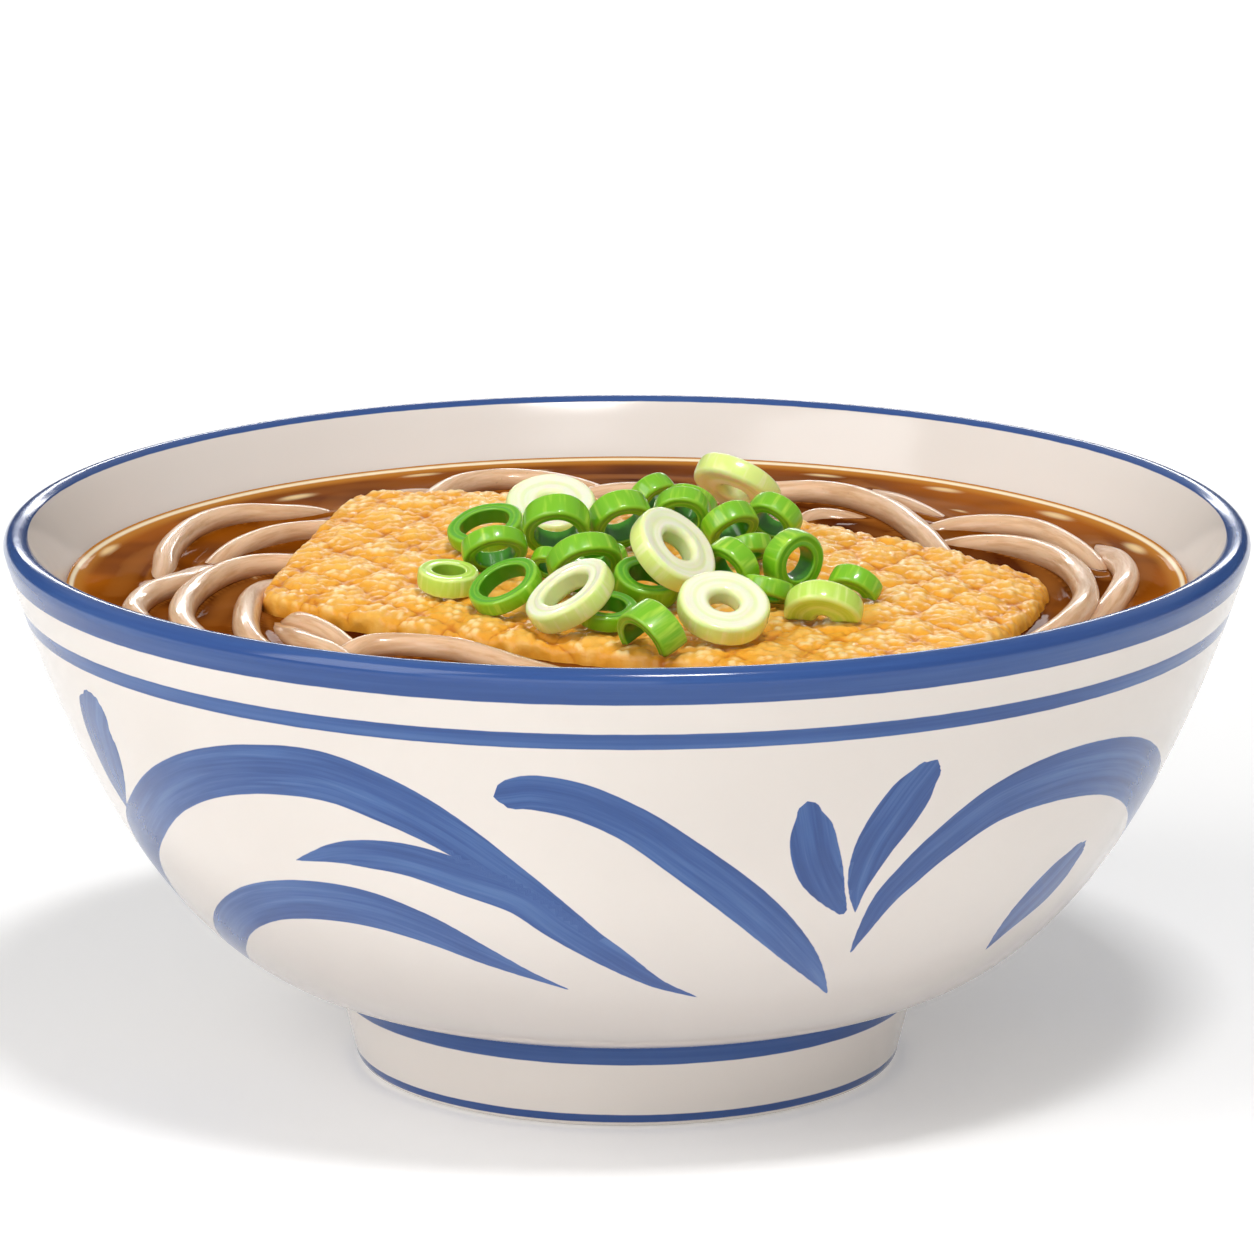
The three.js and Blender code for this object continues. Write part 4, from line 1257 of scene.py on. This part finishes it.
def noodle_lines(outline, tofu_top):
    """Centre lines of the noodles that show, and of those that lie under the soup."""
    lines = []
    for strand in NOODLES:
        points = [(x, y, CORE_TOP + lift) for x, y, lift in strand]
        lines.append(with_ends(smooth_line(points, STRAND_SPACING)))
    shown = len(lines)
    lines += [smooth_line(strand, STRAND_SPACING) for strand in SHALLOW]
    lines += sunken_noodles(np.random.default_rng(8))
    limits = [HIGHEST_STRAND] * shown + [HIGHEST_SHALLOW] * len(SHALLOW)
    limits += [HIGHEST_SUNKEN] * SUNKEN_STRANDS
    lengths = [len(line) for line in lines]
    every = np.vstack(lines)
    distance = polygon_distance(every[:, 0], every[:, 1], outline)
    ceiling = strand_ceiling(every, distance, np.repeat(limits, lengths), tofu_top)
    is_shown = np.repeat(np.arange(len(lines)) < shown, lengths)
    distances = np.split(distance, np.cumsum(lengths)[:-1])
    result = []
    for k, (line, edge) in enumerate(zip(settle(lines, is_shown, ceiling), distances)):
        if k < shown:
            keep = np.nonzero(edge >= -HIDDEN_UNDER_TOFU)[0]
            kept = slice(keep[0], keep[-1] + 1)
            line, edge = line[kept], edge[kept]
        result.append(finished(line, edge))
    return result[:shown], result[shown:]


def tube(line, seed):
    """A noodle: a slightly uneven tube with rounded ends, its points and coordinates along it."""
    rng = np.random.default_rng(seed)
    tangent = unit(np.gradient(line, axis=0))
    across = unit(np.cross(tangent, (0, 0, 1.0)))
    above = np.cross(across, tangent)
    run = run_along(line)
    swell = 1 + 0.02 * noise(flat_points(run, np.zeros_like(run)), 9, seed)
    ends = np.clip(np.minimum(run, run[-1] - run) / NOODLE_RADIUS, 0, 1)
    taper = np.sqrt(1 - (1 - ends) ** 2)
    radius = NOODLE_RADIUS * swell * np.maximum(taper, 0.05)
    angle = round_angles(STRAND_SIDES)
    twist = rng.uniform(0, 1.5) + run / 55
    around = angle[None] + twist[:, None]
    square = 1 + 0.03 * np.cos(4 * angle)[None]
    offset = radius[:, None] * square
    points = (
        line[:, None] + (offset * np.cos(around))[..., None] * across[:, None]
        + (offset * np.sin(around))[..., None] * above[:, None]
    )
    along = np.stack([
        np.repeat(run[:, None], STRAND_SIDES, axis=1),
        np.repeat(np.sin(angle)[None] * 2, len(line), axis=0),
        np.repeat(np.cos(angle)[None] * 2, len(line), axis=0) + seed * 3.7,
    ], -1)
    return points, along


def make_noodles(name, lines, material, first_seed, *nodes):
    points, faces, along = [], [], []
    total = 0
    for k, line in enumerate(lines):
        p, a = tube(line, first_seed + k)
        points.append(np.vstack([p.reshape(-1, 3), line[0], line[-1]]))
        along.append(np.vstack([a.reshape(-1, 3), a[0, 0], a[-1, 0]]))
        faces += closed_grid(len(line), STRAND_SIDES, first=total)
        total += len(points[-1])
    points, along = np.vstack(points), np.vstack(along)
    above = points[:, 2] - SOUP_LEVEL
    # Darker low on the noodle: soaked at the waterline, and painted shade with the broth's
    # reflection just above it.
    soak_and_shade = 0.22 * smoothstep(2.8, 0.6, above) + 0.65 * smoothstep(1.0, -0.8, above)
    piece = make_piece(name, points, faces, material, {"soak_and_shade": soak_and_shade}, {"along": along})
    show(piece, "noodle", *nodes)


CORE_COLUMNS = 96
CORE_LOOPS = ((40, 30), (58, 45), (68, 60), (71, 68), (70, 70.5), (40, 71))  # radius, height


def make_core(material):
    """The hidden inside of the bundle, kept under the soup's surface."""
    angle = round_angles(CORE_COLUMNS)
    loops = []
    for radius, height in CORE_LOOPS:
        wave = radius + 1.5 * np.sin(5 * angle + radius)
        loops.append(np.stack([wave * np.cos(angle), wave * np.sin(angle), 0 * angle + height], -1))
    points = np.vstack([*loops, [[0, 0, CORE_LOOPS[0][1]]], [[0, 0, CORE_LOOPS[-1][1]]]])
    faces = closed_grid(len(loops), CORE_COLUMNS)
    # The whole core gets the soaked and shaded colour.
    numbers = {"soak_and_shade": np.ones(len(points))}
    vectors = {"along": points * 0.3}
    piece = make_piece("noodle_core", points, faces, material, numbers, vectors)
    show(piece, "noodle", "noodles")


# ---- the broth ----

BROTH_COLUMNS = 560
BROTH_CELL = 0.75
BROTH_CROWDING = 0.72  # below 1 the rings lie closer together towards the wall
WALL_RINGS = 16
WALL_REACH = 2.4
WALL_OVERLAP = 0.15  # the edge of the surface lies this far into the glaze
BROTH_BODY = ((SOUP_RADIUS - 0.3, 75.6), (80, 60), (50, 40), (5, 40))  # radius, height
DEEP = 9.0  # farther than the eye sees into the soup
SHORE_REACH = 5.0
SEEN_THROUGH = 1.7  # depth at which a noodle has mostly gone from sight
AMBER_REACH = 8.5  # from the wall, over which the shallow soup darkens
MENISCUS = 0.36
MENISCUS_REACH = 1.3
WALL_MENISCUS = 0.9
SWELL_FROM_WALL = 7.0
SWELL_WIDTH = 9.0
SWELL_HEIGHT = 0.075
SWELLS = 9
RIPPLE = 0.035
OIL_HEIGHT = 0.08

# Drops of oil on the soup, each a little raised, whose pale gold is a painted highlight: x, y, half
# length round the bowl and half width.
OIL_DROPS_AND_GLINTS = [
    (-82.5, 22, 5.5, 1.2), (-54, 61, 5, 1.8), (-34, 77, 4.5, 1.1), (-55.6, 45.3, 2.6, 0.8),
    (-58.6, 3.8, 2.2, 0.9), (32.5, 76.8, 4.2, 1.1), (52, 66, 4.5, 1.6), (69.5, 47, 5.5, 1.7),
    (81, 23.5, 5.5, 1.6), (54, 50.4, 2.2, 0.7), (-78, -24, 4, 1), (6, -82.5, 4, 1),
    (-16, 80.5, 4, 0.9), (80, -18, 4, 1.2),
]


def noodles_in_soup(flat, lines):
    """At each place on the soup how deep the nearest noodle lies under it, and how far off the
    soup touches one that stands out of it."""
    depth = np.full(len(flat), DEEP)
    shore = np.full(len(flat), DEEP)
    for line in lines:
        rise = line[:, 2] - SOUP_LEVEL
        half = np.sqrt(np.clip(NOODLE_RADIUS ** 2 - rise ** 2, 0, None))
        half = np.where(rise > 0, np.maximum(half, NOODLE_RADIUS * 0.8), half)
        out = rise > -NOODLE_RADIUS
        for rows in in_blocks(rows_near(flat, line[:, :2], SHORE_REACH), BLOCK):
            gap = np.linalg.norm(flat[rows, None] - line[None, :, :2], axis=2)
            crown = rise + np.sqrt(np.clip(NOODLE_RADIUS ** 2 - gap ** 2, 0, None))
            crown = np.where(gap < NOODLE_RADIUS, crown, -DEEP).max(axis=1)
            depth[rows] = np.minimum(depth[rows], np.clip(-crown, 0, DEEP))
            if out.any():
                edge = (gap[:, out] - half[out]).min(axis=1)
                shore[rows] = np.minimum(shore[rows], edge)
    return depth, shore


def oil_drops_and_glints(flat):
    """From 0 to 1 in the middle of each drop, where the pale gold painted highlight goes. The drops
    lie along the bowl's round.
    """
    oil_and_glint = np.zeros(len(flat))
    for x, y, length, width in OIL_DROPS_AND_GLINTS:
        radius = math.hypot(x, y)
        out = np.array([x, y]) / radius
        away = (flat - (x, y)) @ out
        run = (flat - (x, y)) @ (-out[1], out[0])
        reach = np.hypot(run / length, (away + run ** 2 / (2 * radius)) / width)
        oil_and_glint = np.maximum(oil_and_glint, smoothstep(1.0, 0.25, reach))
    return oil_and_glint


def make_broth(material, lines, outline):
    """The soup's surface, drawn up a little at all that stands in it, over a closed body."""
    open_radius = SOUP_RADIUS - WALL_REACH
    radii = np.linspace(0, 1, int(SOUP_RADIUS / BROTH_CELL) + 1)[1:]
    at_wall = np.linspace(open_radius, SOUP_RADIUS + WALL_OVERLAP, WALL_RINGS + 1)[1:]
    radii = np.append(radii ** BROTH_CROWDING * open_radius, at_wall)
    angle = round_angles(BROTH_COLUMNS)
    x, y = np.outer(radii, np.sin(angle)).ravel(), np.outer(radii, -np.cos(angle)).ravel()
    flat = np.stack([x, y], -1)
    plan = flat_points(x, y)
    depth, shore = noodles_in_soup(flat, lines)
    shore = np.minimum(shore, polygon_distance(x, y, outline))
    wall = SOUP_RADIUS - np.hypot(x, y)
    past_wall = np.clip(wall, 0, None)

    turn = np.arctan2(x, -y)
    swell = np.exp(-((wall - SWELL_FROM_WALL) / SWELL_WIDTH) ** 2)
    swell = swell * (0.5 + 0.5 * np.sin(SWELLS * turn + 1.3 * np.sin(2 * turn)))
    swell = swell * np.sin(2 * np.pi * (SWELL_FROM_WALL - wall) / SWELL_WIDTH)
    # The oil drops are raised a little and carry a pale gold painted highlight.
    oil_and_glint = oil_drops_and_glints(flat) * smoothstep(-0.2, 0.3, shore)
    height = SOUP_LEVEL + MENISCUS * np.exp(-np.clip(shore, 0, None) / MENISCUS_REACH)
    height = height + WALL_MENISCUS * np.exp(-past_wall / MENISCUS_REACH)
    height = height + RIPPLE * noise(plan, 13, 51) + SWELL_HEIGHT * swell + OIL_HEIGHT * oil_and_glint

    cloud = noise(plan, 17, 52) + 0.5 * noise(plan * (1, 1.6, 1), 6, 53)
    amber = 0.14 + 0.30 * cloud + 0.68 * np.exp(-past_wall / AMBER_REACH)
    # The golden band and the cream line along the wall are painted light on the meniscus.
    looks = {
        "through": 0.9 * np.exp(-depth / SEEN_THROUGH) * smoothstep(-0.6, 0.2, shore),
        "amber": np.clip(amber, 0, 1),
        "edge": 0.85 * smoothstep(3.6, 1.0, wall),
        "rim": smoothstep(1.05, 0.75, wall) * smoothstep(0.15, 0.40, wall),
        "oil_and_glint": oil_and_glint,
    }
    under = [
        np.stack([radius * np.sin(angle), -radius * np.cos(angle), 0 * angle + low], -1)
        for radius, low in BROTH_BODY
    ]
    middles = [[0, 0, SOUP_LEVEL], [0, 0, BROTH_BODY[-1][1]]]
    points = np.vstack([np.column_stack([flat, height]), *under, middles])
    faces = closed_grid(len(radii) + len(under), BROTH_COLUMNS)
    hidden = np.zeros(len(points) - len(flat))
    numbers = {key: np.append(values, hidden) for key, values in looks.items()}
    piece = make_piece("broth_surface", points, faces, material, numbers)
    show(piece, "broth", "broth")


# ---- scallions ----

RING_STEPS = 72
ARC_STEPS = 12  # an arc has at least this many
SMALLEST_HOLE = 0.4  # radius
THICK_WALL = 3.0  # from here on the ring is cut from the white of the stalk
OUTER_BEVEL = 0.55
THICK_OUTER_BEVEL = 0.8
INNER_BEVEL = 0.35


def piece_axis(lean, heading):
    lean, heading = math.radians(lean), math.radians(heading)
    return np.array([
        math.sin(lean) * math.cos(heading), math.sin(lean) * math.sin(heading), math.cos(lean),
    ])


def turned(points, axis):
    """Points turned so that +Z becomes the axis, the short way."""
    z = np.array([0, 0, 1.0])
    v = np.cross(z, axis)
    c = float(z @ axis)
    k = np.array([[0, -v[2], v[1]], [v[2], 0, -v[0]], [-v[1], v[0], 0]])
    matrix = np.eye(3) + k + k @ k / (1 + c)
    return points @ matrix.T


def ring_section(radius, wall, length):
    """Round the ring's cross-section: radius, height, cut face, inside, edge. The inside is where
    the painted shade goes.
    """
    inner = max(SMALLEST_HOLE, radius - wall)
    half = length / 2
    thick = wall >= THICK_WALL
    bevel = THICK_OUTER_BEVEL if thick else min(OUTER_BEVEL, wall * 0.3)
    narrow = wall * 0.22 if thick else min(INNER_BEVEL, wall * 0.18)
    upper = []
    for angle in (0, 18, 36, 54, 72, 90):
        turn = math.radians(angle)
        upper.append((
            radius - bevel + bevel * math.cos(turn), half - bevel + bevel * math.sin(turn),
            smoothstep(20, 80, angle), 0.0, math.sin(2 * turn) * 0.8,
        ))
    for t in np.linspace(0, 1, 11)[1:-1]:
        r = radius - bevel - t * (radius - bevel - inner - narrow)
        dish = 0.10 * math.sin(math.pi * t) + 0.05 * math.exp(-((t - 0.55) / 0.1) ** 2)
        dish = dish * min(1.0, wall / THICK_WALL)
        upper.append((r, half - dish, 1.0, 0.0, 0.6 * math.exp(-((t - 0.55) / 0.09) ** 2)))
    for angle in (90, 112, 135, 158, 180):
        turn = math.radians(angle)
        upper.append((
            inner + narrow + narrow * math.cos(turn), half - narrow + narrow * math.sin(turn),
            1.0, smoothstep(110, 180, angle), -math.sin(2 * turn) * 0.5,
        ))
    outside = [(radius + 0.08 * (1 - t * t), t * (half - bevel), 0.0, 0.0, 0.0)
               for t in np.linspace(-0.85, 0.85, 7)]
    inside = [(inner, t * (half - narrow), 1.0, 1.0, 0.0) for t in np.linspace(0.8, -0.8, 5)]
    lower = [(r, -z, face, inside_shade, edge) for r, z, face, inside_shade, edge in upper[::-1]]
    return np.array(outside + upper + inside + lower)


def arc_angles(heading, sweep, steps, count):
    """Angles round a ring, in the middle of whose arc the axis leans away."""
    return np.radians(heading + 180 - sweep / 2 + sweep * np.arange(count) / steps)


def scallion_place(node, entry, axis):
    """Where the piece's own middle lies, from the box of its solid and the solid's corners."""
    _, _, heading, radius, wall, length, sweep = entry
    steps = round(SOLID_SIDES * sweep / 360)
    if sweep < 360:
        steps += 1
    inner = max(SMALLEST_HOLE, radius - wall)
    corners = np.array([
        (r * math.cos(angle), r * math.sin(angle), z)
        for angle in arc_angles(heading, sweep, steps, steps + 1)
        for r in (radius, inner)
        for z in (-length / 2, length / 2)
    ])
    corners = turned(corners, axis)
    middle = np.mean(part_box(node), axis=0) / MM
    return middle - (corners.min(axis=0) + corners.max(axis=0)) / 2


def make_scallion(number, entry, looks):
    """A slightly oval and uneven ring, or part of one, in the place of its solid."""
    colour, lean, heading, radius, wall, length, sweep = entry
    node = f"scallion_{number:02d}"
    whole = sweep == 360
    axis = piece_axis(lean, heading)
    rng = np.random.default_rng(100 + number)
    section = ring_section(radius, wall, length)
    columns = len(section)
    rows = RING_STEPS if whole else max(ARC_STEPS, int(RING_STEPS * sweep / 360)) + 1
    angles = arc_angles(heading, sweep, rows if whole else rows - 1, rows)
    oval, oval_turn = rng.uniform(0.0, 0.03), rng.uniform(0, np.pi)
    wobble = 0.988 + oval * np.cos(2 * (angles - oval_turn))
    wobble = wobble + 0.008 * np.sin(5 * angles + number)
    skew = 1 + rng.uniform(-0.08, 0.08) * np.cos(angles - oval_turn)
    cos, sin = (np.repeat(values, columns) for values in (np.cos(angles), np.sin(angles)))
    r = np.outer(wobble, section[:, 0]).ravel()
    z = np.outer(skew * 0.98, section[:, 1]).ravel()
    skin, _, face, inside_shade, edge = np.tile(section, (rows, 1)).T
    around = np.repeat(angles * radius, columns)
    points = np.stack([r * cos, r * sin, z], -1)
    fibre = np.stack([around * 0.9, z * 0.12, skin * 0.5 + number * 9.1], -1)
    layer = np.stack([skin * 1.8, cos * 0.5, sin * 0.5 + number * 4.3], -1)
    faces = [grid_faces(rows, columns, round_columns=True, round_rows=whole)]
    if not whole:
        ends = []
        for end in (0, rows - 1):
            loop = end * columns + np.arange(columns)
            faces.append(fan_faces(rows * columns + len(ends), loop if end else loop[::-1]))
            ends.append(points[loop].mean(axis=0))
        points = np.vstack([points, ends])
        face = np.append(face, [1, 1])
        inside_shade = np.append(inside_shade, [0, 0])
        edge = np.append(edge, [0, 0])
        fibre = np.vstack([fibre, fibre[0], fibre[-1]])
        layer = np.vstack([layer, layer[0], layer[-1]])
    piece = make_piece(
        f"scallion_piece_{number:02d}", turned(points, axis) + scallion_place(node, entry, axis),
        faces, looks[colour],
        {"face": face, "inside_shade": inside_shade, "edge": edge}, {"fibre": fibre, "layer": layer},
    )
    show(piece, f"scallion_{colour}", node)


# ---- stage and light ----


FLOOR_REACH = 4000.0
FLOOR_GAP = 0.05
FLOOR_GLOW_SPAN = (120 * MM, 900 * MM)  # distance from the bowl's middle
FLOOR_GLOW = (0.18, 0.62)
LIGHT_AIM = (0, 0, 60 * MM)
ROOM_COLOUR = (1.0, 0.99, 0.98, 1)
ROOM_STRENGTH = 0.36
ROOM_STRENGTH_BEHIND = 0.05
DIM_BEHIND = (0.2, 0.75)  # of a direction's Y, where the room turns dim
DIM_LOW = (0.55, 0.32)  # of its Z
LAMPS = (  # name, place and size in metres, watts, colour, whether it lights matt surfaces
    ("key", (-1.7, -1.2, 1.6), (1.4, 1.9), 27, (1, 0.99, 0.97), True),
    ("overhead", (0.25, -0.8, 2.0), (0.4, 0.25), 21, (1, 1, 1), True),
    ("front", (-0.6, -2.3, 0.70), (1.8, 1.0), 9, (1, 1, 1), True),
    ("low_back", (0, 2.0, 0.70), (1.3, 0.12), 6, (1, 1, 1), False),
)


def make_stage():
    """A pale floor that glows a little more away from the bowl, so that it fades to white."""
    look = Look("pale_floor")
    distance = look.nodes.new("ShaderNodeVectorMath")
    distance.operation = "LENGTH"
    look.put(distance.inputs[0], look.place())
    look.set(
        Base_Color=(0.90, 0.90, 0.90),
        Roughness=0.7,
        Specular_IOR_Level=0.2,
        Emission_Color=(1.0, 1.0, 1.0),
        Emission_Strength=look.span(distance.outputs["Value"], *FLOOR_GLOW_SPAN, *FLOOR_GLOW),
    )
    points = np.array([
        (x * FLOOR_REACH, y * FLOOR_REACH, -FLOOR_GAP)
        for x, y in ((-1, -1), (1, -1), (1, 1), (-1, 1))
    ])
    corners = [np.array([[0, 1, 2, 3]])]
    make_piece("floor", points, corners, look.material, closed=False)


def area_light(name, place, size, power, color, diffuse):
    """A soft lamp aimed at the food."""
    data = bpy.data.lights.new(name, "AREA")
    data.shape = "RECTANGLE"
    data.size, data.size_y = size
    data.energy = power
    data.color = color
    lamp = bpy.data.objects.new(name, data)
    lamp.location = place
    lamp.visible_diffuse = diffuse
    aim = Vector(LIGHT_AIM) - Vector(place)
    lamp.rotation_euler = aim.to_track_quat("-Z", "Y").to_euler()
    bpy.context.collection.objects.link(lamp)


def make_light():
    """A soft room that is dim low behind the bowl, one large soft key and three more lamps."""
    world = bpy.data.worlds.new("studio")
    bpy.context.scene.world = world
    world.use_nodes = True
    nodes, links = world.node_tree.nodes, world.node_tree.links
    background = nodes["Background"]
    direction = nodes.new("ShaderNodeTexCoord").outputs["Generated"]
    axes = nodes.new("ShaderNodeSeparateXYZ")
    links.new(direction, axes.inputs[0])
    behind, low = nodes.new("ShaderNodeMapRange"), nodes.new("ShaderNodeMapRange")
    for node, output, (start, end) in ((behind, "Y", DIM_BEHIND), (low, "Z", DIM_LOW)):
        node.interpolation_type = "SMOOTHSTEP"
        links.new(axes.outputs[output], node.inputs["Value"])
        node.inputs["From Min"].default_value = start
        node.inputs["From Max"].default_value = end
    both = nodes.new("ShaderNodeMath")
    both.operation = "MULTIPLY"
    links.new(behind.outputs[0], both.inputs[0])
    links.new(low.outputs[0], both.inputs[1])
    strength = nodes.new("ShaderNodeMapRange")
    links.new(both.outputs[0], strength.inputs["Value"])
    strength.inputs["To Min"].default_value = ROOM_STRENGTH
    strength.inputs["To Max"].default_value = ROOM_STRENGTH_BEHIND
    links.new(strength.outputs[0], background.inputs["Strength"])
    background.inputs["Color"].default_value = ROOM_COLOUR
    for lamp in LAMPS:
        area_light(*lamp)
    view = bpy.context.scene.view_settings
    view.view_transform = "Standard"
    view.look = "None"
    view.exposure = 0.0


make_camera()
make_stage()
make_light()
make_bowl(glaze_look())
tofu_outline, tofu_top = make_tofu(tofu_look())
top_lines, low_lines = noodle_lines(tofu_outline, tofu_top)
soba = noodle_look()
make_core(soba)
make_noodles("noodle_strands", top_lines, soba, 300, "noodles")
make_noodles("noodle_strands_under", low_lines, soba, 400, "noodles")
make_broth(broth_look(), top_lines + low_lines, tofu_outline)
scallion_looks = {
    name: scallion_look(f"scallion_{name}", colours, SCALLION_TRANSLUCENCE[name])
    for name, colours in SCALLION_COLOURS.items()
}
for number, entry in enumerate(SCALLIONS, 1):
    make_scallion(number, entry, scallion_looks)
